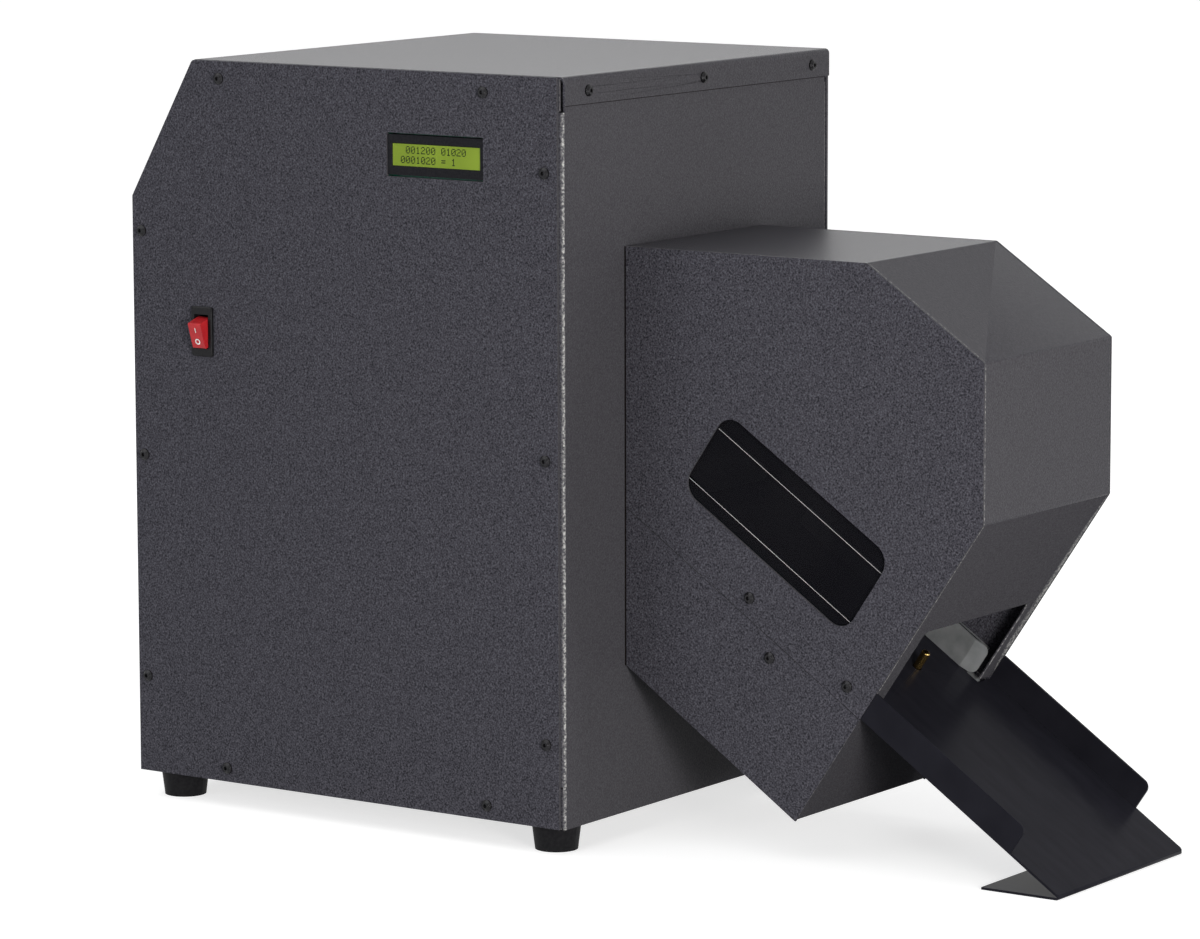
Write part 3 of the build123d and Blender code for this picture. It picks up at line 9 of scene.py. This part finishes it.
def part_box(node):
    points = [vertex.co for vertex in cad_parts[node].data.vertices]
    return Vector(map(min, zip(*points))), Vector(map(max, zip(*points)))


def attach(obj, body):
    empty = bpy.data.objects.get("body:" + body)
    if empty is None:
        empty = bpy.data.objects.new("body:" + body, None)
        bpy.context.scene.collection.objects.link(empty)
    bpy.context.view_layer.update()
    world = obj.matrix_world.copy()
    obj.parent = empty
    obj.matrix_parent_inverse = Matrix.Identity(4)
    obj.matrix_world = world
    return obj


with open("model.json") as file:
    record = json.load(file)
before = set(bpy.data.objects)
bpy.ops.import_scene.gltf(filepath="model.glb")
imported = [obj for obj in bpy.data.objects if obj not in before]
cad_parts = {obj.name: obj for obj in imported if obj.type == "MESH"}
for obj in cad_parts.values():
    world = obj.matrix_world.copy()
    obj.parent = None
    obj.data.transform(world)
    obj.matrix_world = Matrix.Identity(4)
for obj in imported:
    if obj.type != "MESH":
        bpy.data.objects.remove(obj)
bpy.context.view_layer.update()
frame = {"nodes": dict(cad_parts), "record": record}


# Rubber feet.
# Four moulded black rubber buffers, slightly tapered, each held up into a nut in the base pan
# by one zinc-plated screw in its recess.
def start_finish(name, roughness, metallic=0.0, specular=0.5):
    """A new material with one principled shader; returns the material, its node tree and the shader."""
    material = bpy.data.materials.new(name)
    material.use_nodes = True
    tree = material.node_tree
    shader = tree.nodes["Principled BSDF"]
    shader.inputs["Roughness"].default_value = roughness
    shader.inputs["Metallic"].default_value = metallic
    shader.inputs["Specular IOR Level"].default_value = specular
    return material, tree, shader


def grain(tree, scale, detail=2.0, stretch=(1.0, 1.0, 1.0), turn=(0.6, 0.4, 0.9)):
    """Noise on the piece's own coordinates, stretched along the axes and turned askew to its faces."""
    place = tree.nodes.new("ShaderNodeTexCoord")
    mapping = tree.nodes.new("ShaderNodeMapping")
    noise = tree.nodes.new("ShaderNodeTexNoise")
    mapping.inputs["Scale"].default_value = stretch
    mapping.inputs["Rotation"].default_value = turn
    noise.inputs["Scale"].default_value = scale
    noise.inputs["Detail"].default_value = detail
    tree.links.new(place.outputs["Object"], mapping.inputs["Vector"])
    tree.links.new(mapping.outputs["Vector"], noise.inputs["Vector"])
    return noise.outputs["Fac"]


def shades(tree, height, *stops):
    """A colour ramp over a height; each stop is a place from 0 to 1 and a colour. Returns the colour."""
    ramp = tree.nodes.new("ShaderNodeValToRGB")
    for place, colour in stops[2:]:
        ramp.color_ramp.elements.new(place)
    for element, (place, colour) in zip(ramp.color_ramp.elements, stops):
        element.position = place
        element.color = (*colour, 1.0)
    tree.links.new(height, ramp.inputs["Fac"])
    return ramp.outputs["Color"]


def tint(tree, shader, height, dark, light, dark_until=0.3, light_from=0.7):
    """Colours a finish from dark at a low height to light at a high one; returns the colour."""
    colour = shades(tree, height, (dark_until, dark), (light_from, light))
    tree.links.new(colour, shader.inputs["Base Color"])
    return colour


def bumps(tree, shader, height, strength, depth):
    """Raises the surface by a height of the given depth in metres."""
    bump = tree.nodes.new("ShaderNodeBump")
    bump.inputs["Strength"].default_value = strength
    bump.inputs["Distance"].default_value = depth
    tree.links.new(height, bump.inputs["Height"])
    tree.links.new(bump.outputs["Normal"], shader.inputs["Normal"])


def dress(material, *names):
    """Gives the named CAD pieces a material."""
    for name in names:
        for slot in frame["nodes"][name].material_slots:
            slot.material = material


rubber, tree, shader = start_finish("moulded_rubber", roughness=0.6, specular=0.1)
rubber_grain = grain(tree, scale=500.0)
tint(tree, shader, rubber_grain, dark=(0.005, 0.005, 0.006), light=(0.011, 0.011, 0.012))
bumps(tree, shader, rubber_grain, strength=0.3, depth=0.0002)
dress(rubber, "rubber_feet")


# Zinc-plated sheet and small hardware.
# Slides, rails, brackets and straps folded from galvanised steel, the solenoids' cases, and plated
# posts and screws: cool grey, a little streaked by the rolling, with a faint cloudy spangle.
zinc, tree, shader = start_finish("zinc_plate", roughness=0.42, metallic=0.7)
zinc_cloud = grain(tree, scale=90.0, detail=3.0)
zinc_streak = grain(tree, scale=900.0, stretch=(0.15, 1.0, 1.0))
zinc_colour = shades(
    tree,
    zinc_cloud,
    (0.30, (0.34, 0.36, 0.37)),
    (0.50, (0.45, 0.47, 0.48)),
    (0.75, (0.56, 0.58, 0.59)),
)
tree.links.new(zinc_colour, shader.inputs["Base Color"])
bumps(tree, shader, zinc_streak, strength=0.15, depth=0.0001)
dress(
    zinc,
    "foot_screws",
    "bay_mount_screws",
    "display_posts",
    "drive_slide_upper",
    "drive_slide_lower",
    "coil_cradle",
    "capacitor_strap",
    "control_posts",
    "bay_mount_frame",
    "seam_straps",
    "side_rails",
    "chute_ledge",
    "camera_bracket",
    "coil_stop_solenoid",
    "exit_stop_solenoid",
)


# Cabinet and bay sheet metal.
# Folded steel panels, screwed together, under a charcoal textured powder coat: a leathery grain of
# about a millimetre, with painted shade that gives it more contrast on faces turned to front or back
# than on the folded sides, less reflective on undersides, and painted highlights along rounded edges.
coat, tree, shader = start_finish("charcoal_powder_coat", roughness=0.30)
coat_grain = grain(tree, scale=950.0, detail=3.0)
# Grain with painted shade: its stronger contrast stands in for light raking across the grain on faces
# turned to front or back.
grain_with_painted_shade = shades(
    tree,
    coat_grain,
    (0.34, (0.018, 0.018, 0.022)),
    (0.46, (0.046, 0.045, 0.055)),
    (0.58, (0.066, 0.065, 0.078)),
    (0.72, (0.104, 0.102, 0.120)),
)
close_grain = shades(
    tree,
    coat_grain,
    (0.34, (0.044, 0.043, 0.049)),
    (0.72, (0.072, 0.071, 0.079)),
)
# Painted highlight: bright points that stand in for light caught on the rounded edges.
painted_edge_highlights = shades(
    tree,
    grain(tree, scale=700.0),
    (0.36, (0.07, 0.07, 0.08)),
    (0.52, (0.22, 0.22, 0.22)),
    (0.66, (0.46, 0.46, 0.45)),
)


def front_share(tree):
    """How far a face is turned to the front or back: 0 on sides and top, 1 on a flat front."""
    place = tree.nodes.new("ShaderNodeTexCoord")
    parts = tree.nodes.new("ShaderNodeSeparateXYZ")
    size = tree.nodes.new("ShaderNodeMath")
    size.operation = "ABSOLUTE"
    tree.links.new(place.outputs["Normal"], parts.inputs["Vector"])
    tree.links.new(parts.outputs["Y"], size.inputs[0])
    return size.outputs["Value"]


def blend(tree, share, first, second):
    """The first colour where the share is 0, the second where it is 1."""
    mix = tree.nodes.new("ShaderNodeMix")
    mix.data_type = "RGBA"
    first_input, second_input = (socket for socket in mix.inputs if socket.type == "RGBA")
    (blended,) = (socket for socket in mix.outputs if socket.type == "RGBA")
    tree.links.new(share, mix.inputs["Factor"])
    tree.links.new(first, first_input)
    tree.links.new(second, second_input)
    return blended


black, dim, white = (0.0, 0.0, 0.0), (0.3, 0.3, 0.3), (1.0, 1.0, 1.0)
facing = front_share(tree)
# Where the painted edge highlight goes: faces turned part way between the front or back and the sides.
edge_highlight_mask = shades(tree, facing, (0.18, black), (0.34, white), (0.60, white), (0.78, dim), (0.97, black))
# The coat's colour: grain, with painted shade on front and back faces and painted highlights along
# rounded edges.
coat_colour = blend(tree, edge_highlight_mask, blend(tree, facing, close_grain, grain_with_painted_shade), painted_edge_highlights)
tree.links.new(coat_colour, shader.inputs["Base Color"])
bumps(tree, shader, coat_grain, strength=0.6, depth=0.0004)


def gloss_by_slope(tree, shader, below, above, facing_down=-0.5, facing_level=-0.1):
    """Gives undersides one reflectivity and upright and upper faces another."""
    place = tree.nodes.new("ShaderNodeTexCoord")
    parts = tree.nodes.new("ShaderNodeSeparateXYZ")
    gloss = tree.nodes.new("ShaderNodeMapRange")
    gloss.inputs["From Min"].default_value = facing_down
    gloss.inputs["From Max"].default_value = facing_level
    gloss.inputs["To Min"].default_value = below
    gloss.inputs["To Max"].default_value = above
    tree.links.new(place.outputs["Normal"], parts.inputs["Vector"])
    tree.links.new(parts.outputs["Z"], gloss.inputs["Value"])
    tree.links.new(gloss.outputs["Result"], shader.inputs["Specular IOR Level"])


gloss_by_slope(tree, shader, below=0.0, above=0.03)
dress(
    coat,
    "base_pan",
    "front_panel",
    "right_side_panel",
    "left_side_panel",
    "top_cover",
    "rear_panel",
    "bay_wrapper",
    "bay_front_cover",
    "bay_back_cover",
    "bay_tray",
)


def soften(name, width, join_gap=0.00002, steps=3, sharp_angle=radians(40)):
    """Rounds the sharp edges of a CAD piece a little, as paint does over a sheared edge."""
    piece = frame["nodes"][name]
    weld = piece.modifiers.new("joined", "WELD")
    weld.merge_threshold = join_gap
    bevel = piece.modifiers.new("paint_edge", "BEVEL")
    bevel.width = width
    bevel.segments = steps
    bevel.limit_method = "ANGLE"
    bevel.angle_limit = sharp_angle


for panel_name, edge_width in (
    ("front_panel", 0.0008),
    ("bay_front_cover", 0.0008),
    ("bay_back_cover", 0.0006),
    ("bay_wrapper", 0.0008),
    ("bay_tray", 0.0003),
    ("top_cover", 0.0006),
):
    soften(panel_name, edge_width)


# Cover seam shadows.
# A painted shadow under each flange of the top cover, where it lies over the side panel, and one
# beside the bay's front, where it stands off the cabinet: dark films just proud of the panels.
def strip(middle, across, up, half_run, low, high):
    """The corners of a flat strip: half a run to each side of a middle, from a low to a high along up."""
    runs = half_run * np.array([-1.0, 1.0, 1.0, -1.0])
    rises = np.array([low, low, high, high])
    return middle + np.outer(runs, across) + np.outer(rises, up)


def sheet_of_quads(name, corners):
    """A mesh of separate four-sided faces, from an array of faces by four points by three coordinates."""
    count = len(corners)
    mesh = bpy.data.meshes.new(name)
    faces = np.arange(4 * count).reshape(count, 4)
    mesh.from_pydata(corners.reshape(-1, 3).tolist(), [], faces.tolist())
    mesh.update()
    piece = bpy.data.objects.new(name, mesh)
    bpy.context.scene.collection.objects.link(piece)
    return piece


to_right, to_back, to_top = np.eye(3)
cover_flange = 0.017
entry_drop = 0.086
seam_shadow_height = 0.0005
seam_inset = 0.003
seam_shadow_film = 0.00006
bay_shadow_half = 0.0008
bay_shadow_low = 0.1061
cover_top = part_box("top_cover")[1][2]
right_low, right_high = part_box("right_side_panel")
bay_low, bay_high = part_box("bay_front_cover")
right_face = right_high[0] + seam_shadow_film
left_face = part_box("left_side_panel")[0][0] - seam_shadow_film
right_seam = cover_top - cover_flange
left_seam = cover_top - entry_drop - cover_flange
seam_middle = (right_low[1] + right_high[1]) / 2
seam_half = (right_high[1] - right_low[1]) / 2 - seam_inset
right_middle = np.array([right_face, seam_middle, 0.0])
left_middle = np.array([left_face, seam_middle, 0.0])
bay_middle = np.array([right_face, bay_low[1], 0.0])
# Painted shadow strips: the shade under the flanges and in the gap beside the bay's front.
seam_shadow_strips = (
    strip(right_middle, to_back, to_top, seam_half, right_seam - seam_shadow_height, right_seam),
    strip(bay_middle, to_back, to_top, bay_shadow_half, bay_shadow_low, bay_high[2]),
    strip(left_middle, -to_back, to_top, seam_half, left_seam - seam_shadow_height, left_seam),
)
seam_shadow_sheet = sheet_of_quads("cover_seam_shadows", np.stack(seam_shadow_strips))
# The dark paint of the painted shadow lines.
seam_shadow_paint, tree, shader = start_finish("seam_shadow", roughness=0.8, specular=0.0)
tint(tree, shader, grain(tree, scale=900.0), dark=(0.004, 0.003, 0.003), light=(0.016, 0.013, 0.013))
seam_shadow_sheet.data.materials.append(seam_shadow_paint)
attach(seam_shadow_sheet, "degausser")


# Panel screws.
# Button-head steel screws with hexagon sockets and a black oxide finish, oily and slightly glossy.
# They hold the panels and covers in place.
oxide, tree, shader = start_finish("black_oxide", roughness=0.25, metallic=0.5, specular=0.3)
oxide_grain = grain(tree, scale=600.0)
tint(tree, shader, oxide_grain, dark=(0.008, 0.008, 0.009), light=(0.022, 0.022, 0.024))
bumps(tree, shader, oxide_grain, strength=0.1, depth=0.0001)
dress(oxide, "front_panel_screws", "top_cover_screws", "rear_panel_screws", "bay_screws")


# Character display.
# A bought-in sixteen by two display: black pressed frame, yellow-green backlit glass and the green
# circuit board behind, held to the panel by four posts. The dots lie on the glass.
black_moulding, tree, shader = start_finish("black_moulding", roughness=0.45, specular=0.06)
moulding_grain = grain(tree, scale=900.0)
tint(tree, shader, moulding_grain, dark=(0.006, 0.006, 0.008), light=(0.013, 0.013, 0.015))
bumps(tree, shader, moulding_grain, strength=0.15, depth=0.0001)
dress(
    black_moulding,
    "display_frame",
    "power_inlet",
    "fan_frame",
    "fan_rotor",
    "entry_frame",
    "coil_former",
    "thyristor",
    "camera_lens",
)

backlight, tree, shader = start_finish("backlit_glass", roughness=0.25, specular=0.15)
backlight_cloud = grain(tree, scale=25.0)
glow = tint(tree, shader, backlight_cloud, dark=(0.145, 0.21, 0.017), light=(0.180, 0.255, 0.022))
tree.links.new(glow, shader.inputs["Emission Color"])
shader.inputs["Emission Strength"].default_value = 0.22
dress(backlight, "display_glass")

board, tree, shader = start_finish("solder_mask", roughness=0.35)
tint(
    tree,
    shader,
    grain(tree, scale=300.0),
    dark=(0.004, 0.07, 0.045),
    light=(0.008, 0.12, 0.07),
    dark_until=0.4,
    light_from=0.6,
)
dress(board, "display_board", "control_board")

dot_rows = {
    " ": "00000 00000 00000 00000 00000 00000 00000",
    "0": "01110 10001 10011 10101 11001 10001 01110",
    "1": "00100 01100 00100 00100 00100 00100 01110",
    "2": "01110 10001 00001 00110 01000 10000 11111",
    "=": "00000 00000 11111 00000 11111 00000 00000",
}
display_lines = ("  001200 01020", " 0001020 = 1")
columns = 16
steps_across = 6
steps_down = 9.5
text_share = 0.93
dot_share = 0.96
dot_film = 0.00004
glass_low, glass_high = (np.array(corner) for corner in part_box("display_glass"))
glass_middle = (glass_low + glass_high) / 2
cell_width = (glass_high[0] - glass_low[0]) * text_share / columns
dot_step = cell_width / steps_across
dot_size = dot_step * dot_share
line_step = dot_step * steps_down
text_left = glass_middle[0] - cell_width * columns / 2
text_top = glass_middle[2] + line_step - dot_step
marks = np.array(
    [
        [[float(bit) for bit in row] for row in dot_rows[character].split()]
        for line in display_lines
        for character in line.ljust(columns)
    ]
)
cells, rows, dots = np.nonzero(marks)
dot_x = text_left + (cells % columns) * cell_width + dots * dot_step
dot_y = np.full_like(dot_x, glass_low[1] - dot_film)
dot_z = text_top - (cells // columns) * line_step - rows * dot_step
dot_corners = np.stack([dot_x, dot_y, dot_z], axis=1)
one_dot = strip(to_right * dot_size / 2, to_right, to_top, dot_size / 2, -dot_size, 0.0)
characters = sheet_of_quads("display_characters", dot_corners[:, None, :] + one_dot)
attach(characters, "degausser")
dark_dots, tree, shader = start_finish("display_dots", roughness=0.4, specular=0.1)
tint(tree, shader, grain(tree, scale=200.0), dark=(0.004, 0.008, 0.002), light=(0.008, 0.014, 0.004))
characters.data.materials.append(dark_dots)


# Power rocker.
# A polished red rocker on two moulded pins in a glossy black body, with a white line and a white
# ring filled into its tilted face. The body clips into the panel.
bezel, tree, shader = start_finish("glossy_bezel", roughness=0.32, specular=0.15)
tint(tree, shader, grain(tree, scale=700.0), dark=(0.005, 0.005, 0.006), light=(0.009, 0.009, 0.010))
dress(bezel, "switch_body")

red, tree, shader = start_finish("polished_red", roughness=0.18, specular=0.25)
tint(tree, shader, grain(tree, scale=150.0), dark=(0.42, 0.016, 0.022), light=(0.52, 0.024, 0.028))
dress(red, "power_rocker")

joints = {joint["name"]: joint for joint in frame["record"]["behaviour"]["joints"]}
rocker_pivot = np.array(joints["rocker_pivot"]["pos_m"])
rocker_tilt = radians(18.0)
rocker_face = 0.008
mark_proud = 0.00006
face_out = np.array([0.0, -cos(rocker_tilt), -sin(rocker_tilt)])
face_up = np.array([0.0, -sin(rocker_tilt), cos(rocker_tilt)])
face_middle = rocker_pivot + face_out * (rocker_face + mark_proud)

# The ring is a flat band between two circles on the lower half of the face.
ring_steps = 32
ring_drop = 0.0036
ring_radius = np.array([0.00115, 0.00195])
ring_turn = np.linspace(0, 2 * np.pi, ring_steps + 1)
ring_across = np.outer(np.cos(ring_turn), ring_radius)[:, :, None] * to_right
ring_up = (np.outer(np.sin(ring_turn), ring_radius) - ring_drop)[:, :, None] * face_up
ring = face_middle + ring_across + ring_up
ring_faces = np.stack([ring[1:, 0], ring[1:, 1], ring[:-1, 1], ring[:-1, 0]], axis=1)
off_mark = sheet_of_quads("off_ring", ring_faces)

# The line is a strip on the upper half.
bar_half = 0.0003
bar_low, bar_high = 0.0024, 0.0056
bar = strip(face_middle, to_right, face_up, bar_half, bar_low, bar_high)
on_mark = sheet_of_quads("on_bar", bar[None])

filled_white, tree, shader = start_finish("filled_white", roughness=0.4)
tint(tree, shader, grain(tree, scale=300.0), dark=(0.72, 0.72, 0.70), light=(0.82, 0.82, 0.80))
for mark in (off_mark, on_mark):
    mark.data.materials.append(filled_white)
    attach(mark, "rocker")


# Coil, energy store and electronics.
# Enamelled copper windings, bare bus bars, grey capacitor cans with glazed insulators and a varnished
# laminated core, mounted inside the cabinet. Heat sink and camera housing are drawn aluminium.
copper, tree, shader = start_finish("enamelled_copper", roughness=0.35, metallic=0.9)
copper_turns = grain(tree, scale=500.0, detail=1.0, stretch=(1.0, 0.05, 1.0))
tint(tree, shader, copper_turns, dark=(0.32, 0.11, 0.05), light=(0.55, 0.24, 0.12))
bumps(tree, shader, copper_turns, strength=0.4, depth=0.0003)
dress(copper, "coil_winding", "bus_bars", "transformer_winding")

can_paint, tree, shader = start_finish("grey_can", roughness=0.45)
tint(tree, shader, grain(tree, scale=120.0), dark=(0.36, 0.37, 0.36), light=(0.44, 0.45, 0.44))
dress(can_paint, "energy_capacitors")

glaze, tree, shader = start_finish("glazed_insulator", roughness=0.15)
tint(tree, shader, grain(tree, scale=80.0), dark=(0.62, 0.60, 0.55), light=(0.72, 0.70, 0.66))
dress(glaze, "capacitor_terminals")

core_varnish, tree, shader = start_finish("varnished_core", roughness=0.4, metallic=0.4)
laminations = grain(tree, scale=900.0, detail=1.0, stretch=(0.02, 1.0, 0.02))
tint(
    tree,
    shader,
    laminations,
    dark=(0.03, 0.03, 0.034),
    light=(0.09, 0.09, 0.095),
    dark_until=0.35,
    light_from=0.65,
)
bumps(tree, shader, laminations, strength=0.4, depth=0.0002)
dress(core_varnish, "transformer_core")

bare_aluminium, tree, shader = start_finish("plain_aluminium", roughness=0.35, metallic=1.0)
drawn_lines = grain(tree, scale=700.0, stretch=(1.0, 0.04, 1.0))
tint(tree, shader, drawn_lines, dark=(0.60, 0.61, 0.62), light=(0.74, 0.75, 0.76))
bumps(tree, shader, drawn_lines, strength=0.15, depth=0.0001)
dress(bare_aluminium, "heat_sink", "camera_housing")


# Stop pins.
# Turned brass pins on the plungers of their solenoids, with a fine grain from turning and a lightly
# tarnished tone. They slide through the floor of the drive's path.
brass, tree, shader = start_finish("turned_brass", roughness=0.22, metallic=1.0)
turning = grain(tree, scale=1500.0, detail=1.0)
tint(tree, shader, turning, dark=(0.58, 0.36, 0.10), light=(0.74, 0.52, 0.20))
bumps(tree, shader, turning, strength=0.1, depth=0.00005)
dress(brass, "coil_stop_pin", "exit_stop_pin")


# Bay light.
# A bar of white light diffuser, moulded in one piece, under the front of the camera's shelf in the
# bay. It lights the floor that the camera looks down on.
diffuser, tree, shader = start_finish("light_diffuser", roughness=0.5)
tint(tree, shader, grain(tree, scale=60.0), dark=(0.70, 0.70, 0.68), light=(0.78, 0.78, 0.76))
dress(diffuser, "light_bar")


# Bay window.
# A pane of smoked acrylic clipped behind the front cover. Its upper and lower margins are printed
# black on the back, and a fine white line edges each margin on its front.
smoked, tree, shader = start_finish("smoked_acrylic", roughness=0.04, specular=0.015)
tint(tree, shader, grain(tree, scale=20.0), dark=(0.006, 0.006, 0.008), light=(0.009, 0.009, 0.011))
shader.inputs["Alpha"].default_value = 0.75
dress(smoked, "bay_window")

slide_angle = radians(34.0)
down_slide = np.array([cos(slide_angle), 0.0, -sin(slide_angle)])
up_slide = np.array([sin(slide_angle), 0.0, cos(slide_angle)])
print_film = 0.00005
pane_low, pane_high = (np.array(corner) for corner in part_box("bay_window"))
pane_middle = (pane_low + pane_high) / 2
pane_back = np.array([pane_middle[0], pane_high[1] + print_film, pane_middle[2]])
pane_front = np.array([pane_middle[0], pane_low[1] - print_film, pane_middle[2]])
lower_line = -0.0211
upper_line = 0.0166
margin = 0.0315
margin_run = 0.0715
line_run = 0.0684
pinstripe = 0.00022
margin_strips = (
    strip(pane_back, down_slide, up_slide, margin_run, -margin, lower_line),
    strip(pane_back, down_slide, up_slide, margin_run, upper_line, margin),
)
line_strips = (
    strip(pane_front, down_slide, up_slide, line_run, lower_line, lower_line + pinstripe),
    strip(pane_front, down_slide, up_slide, line_run, upper_line - pinstripe, upper_line),
)
bands = sheet_of_quads("window_margins", np.stack(margin_strips))
print_black, tree, shader = start_finish("printed_black", roughness=0.4, specular=0.1)
tint(tree, shader, grain(tree, scale=200.0), dark=(0.006, 0.006, 0.006), light=(0.010, 0.010, 0.010))
bands.data.materials.append(print_black)
lines = sheet_of_quads("window_lines", np.stack(line_strips))
print_pale, tree, shader = start_finish("printed_line", roughness=0.4)
tint(tree, shader, grain(tree, scale=200.0), dark=(0.62, 0.62, 0.62), light=(0.72, 0.72, 0.72))
lines.data.materials.append(print_pale)
for printed in (bands, lines):
    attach(printed, "degausser")


# Exit chute and bay floor.
# One folded sheet with turned-up sides and a lip folded back under it, its tongue resting on a ledge
# in the bay, and the bay's floor above it, in smooth satin black paint with faint sliding marks.
satin, tree, shader = start_finish("satin_black", roughness=0.28, specular=0.02)
slide_marks = grain(tree, scale=160.0, detail=3.0, stretch=(0.25, 1.0, 0.25))
tint(tree, shader, slide_marks, dark=(0.011, 0.011, 0.015), light=(0.015, 0.015, 0.020))
bumps(tree, shader, grain(tree, scale=1200.0), strength=0.06, depth=0.0001)
dress(satin, "exit_chute", "bay_slide")
soften("exit_chute", 0.0003)


# Studio floor.
# A pale seamless sweep, one flat sheet far wider than the view. What sees it directly or in a
# reflection sees white, and it keeps the object's shadow.
floor_half = 30.0
floor_lift = 0.69
floor_corners = strip(np.zeros(3), to_right, to_back, floor_half, -floor_half, floor_half)
floor = sheet_of_quads("studio_floor", floor_corners[None])
floor_paint, tree, shader = start_finish("studio_white", roughness=0.9, specular=0.0)
shader.inputs["Base Color"].default_value = (0.55, 0.55, 0.55, 1.0)
shader.inputs["Emission Color"].default_value = (1.0, 1.0, 1.0, 1.0)


def seen_rays(tree):
    """One for a ray from the camera, a reflection or a clear pane, and nought for scattered light."""
    ray = tree.nodes.new("ShaderNodeLightPath")
    seen = ray.outputs["Is Camera Ray"]
    for kind in ("Is Glossy Ray", "Is Transmission Ray"):
        larger = tree.nodes.new("ShaderNodeMath")
        larger.operation = "MAXIMUM"
        tree.links.new(seen, larger.inputs[0])
        tree.links.new(ray.outputs[kind], larger.inputs[1])
        seen = larger.outputs["Value"]
    return seen


lift = tree.nodes.new("ShaderNodeMath")
lift.operation = "MULTIPLY"
lift.inputs[1].default_value = floor_lift
tree.links.new(seen_rays(tree), lift.inputs[0])
tree.links.new(lift.outputs["Value"], shader.inputs["Emission Strength"])
floor.data.materials.append(floor_paint)


# Light.
# Broad light from overhead, a warm soft box to the right with a small one for highlights, a cool one
# to the front left, one high behind and a narrow strip far right for folded edges, in a pale room.
overhead = bpy.data.lights.new("overhead", "SUN")
overhead.energy = 1.30
overhead.angle = radians(70)
overhead_holder = bpy.data.objects.new("overhead", overhead)
overhead_holder.rotation_euler = (radians(16), radians(-6), 0.0)
bpy.context.scene.collection.objects.link(overhead_holder)


def soft_box(name, place, size, power, colour=(1.0, 1.0, 1.0), aim=(0.0, 0.0, 0.22)):
    """A rectangular area lamp at a place, turned to face a point, the object's middle; returns it."""
    lamp = bpy.data.lights.new(name, "AREA")
    lamp.shape = "RECTANGLE"
    lamp.size, lamp.size_y = size
    lamp.energy = power
    lamp.color = colour
    holder = bpy.data.objects.new(name, lamp)
    holder.location = place
    holder.rotation_euler = (Vector(aim) - Vector(place)).to_track_quat("-Z", "Y").to_euler()
    bpy.context.scene.collection.objects.link(holder)
    return holder


warm, cool = (1.0, 0.97, 0.94), (0.90, 0.94, 1.0)
right_place = (2.4, -1.6, 0.4)
right_fill = soft_box("right_fill", right_place, size=(0.8, 0.8), power=55.0, colour=warm)
right_fill.visible_glossy = False
soft_box("right_glint", right_place, size=(0.35, 0.35), power=13.0, colour=warm)
soft_box("front_fill", (-1.3, -2.7, 1.1), size=(1.4, 1.4), power=17.0, colour=cool)
soft_box("back_fill", (-1.4, 2.0, 2.0), size=(1.4, 1.4), power=20.0)
soft_box("edge_strip", (3.0, 0.6, 0.5), size=(0.08, 1.8), power=14.0)

world = bpy.data.worlds.new("pale_room")
world.use_nodes = True
bpy.context.scene.world = world
tree = world.node_tree
room = tree.nodes["Background"]
room.inputs["Color"].default_value = (1.0, 1.0, 1.0, 1.0)
room.inputs["Strength"].default_value = 0.20
seen_room = tree.nodes.new("ShaderNodeBackground")
seen_room.inputs["Color"].default_value = (1.0, 1.0, 1.0, 1.0)
seen_room.inputs["Strength"].default_value = 1.0
room_mix = tree.nodes.new("ShaderNodeMixShader")
seen_share, scattered_input, seen_input = room_mix.inputs
tree.links.new(seen_rays(tree), seen_share)
tree.links.new(room.outputs["Background"], scattered_input)
tree.links.new(seen_room.outputs["Background"], seen_input)
tree.links.new(room_mix.outputs["Shader"], tree.nodes["World Output"].inputs["Surface"])


# Camera.
# It stands about three metres off to the front right, a little above, with a long lens and hardly
# any roll. Its place was worked out from where the cabinet's corners are seen.
camera_eye = Vector((1.80083, -2.6896, 0.6966))
camera_target = Vector((-0.07763, 0.02246, 0.20534))
camera_roll = Matrix.Rotation(radians(-0.14), 3, "Z")
camera_aim = (camera_target - camera_eye).to_track_quat("-Z", "Y").to_matrix()
camera = bpy.data.cameras.new("camera")
camera.sensor_width = 36.0
camera.lens = 160.1
camera.clip_end = 60.0
viewer = bpy.data.objects.new("camera", camera)
viewer.location = camera_eye
viewer.rotation_euler = (camera_aim @ camera_roll).to_euler()
bpy.context.scene.collection.objects.link(viewer)
bpy.context.scene.camera = viewer
bpy.context.scene.view_settings.view_transform = "Standard"
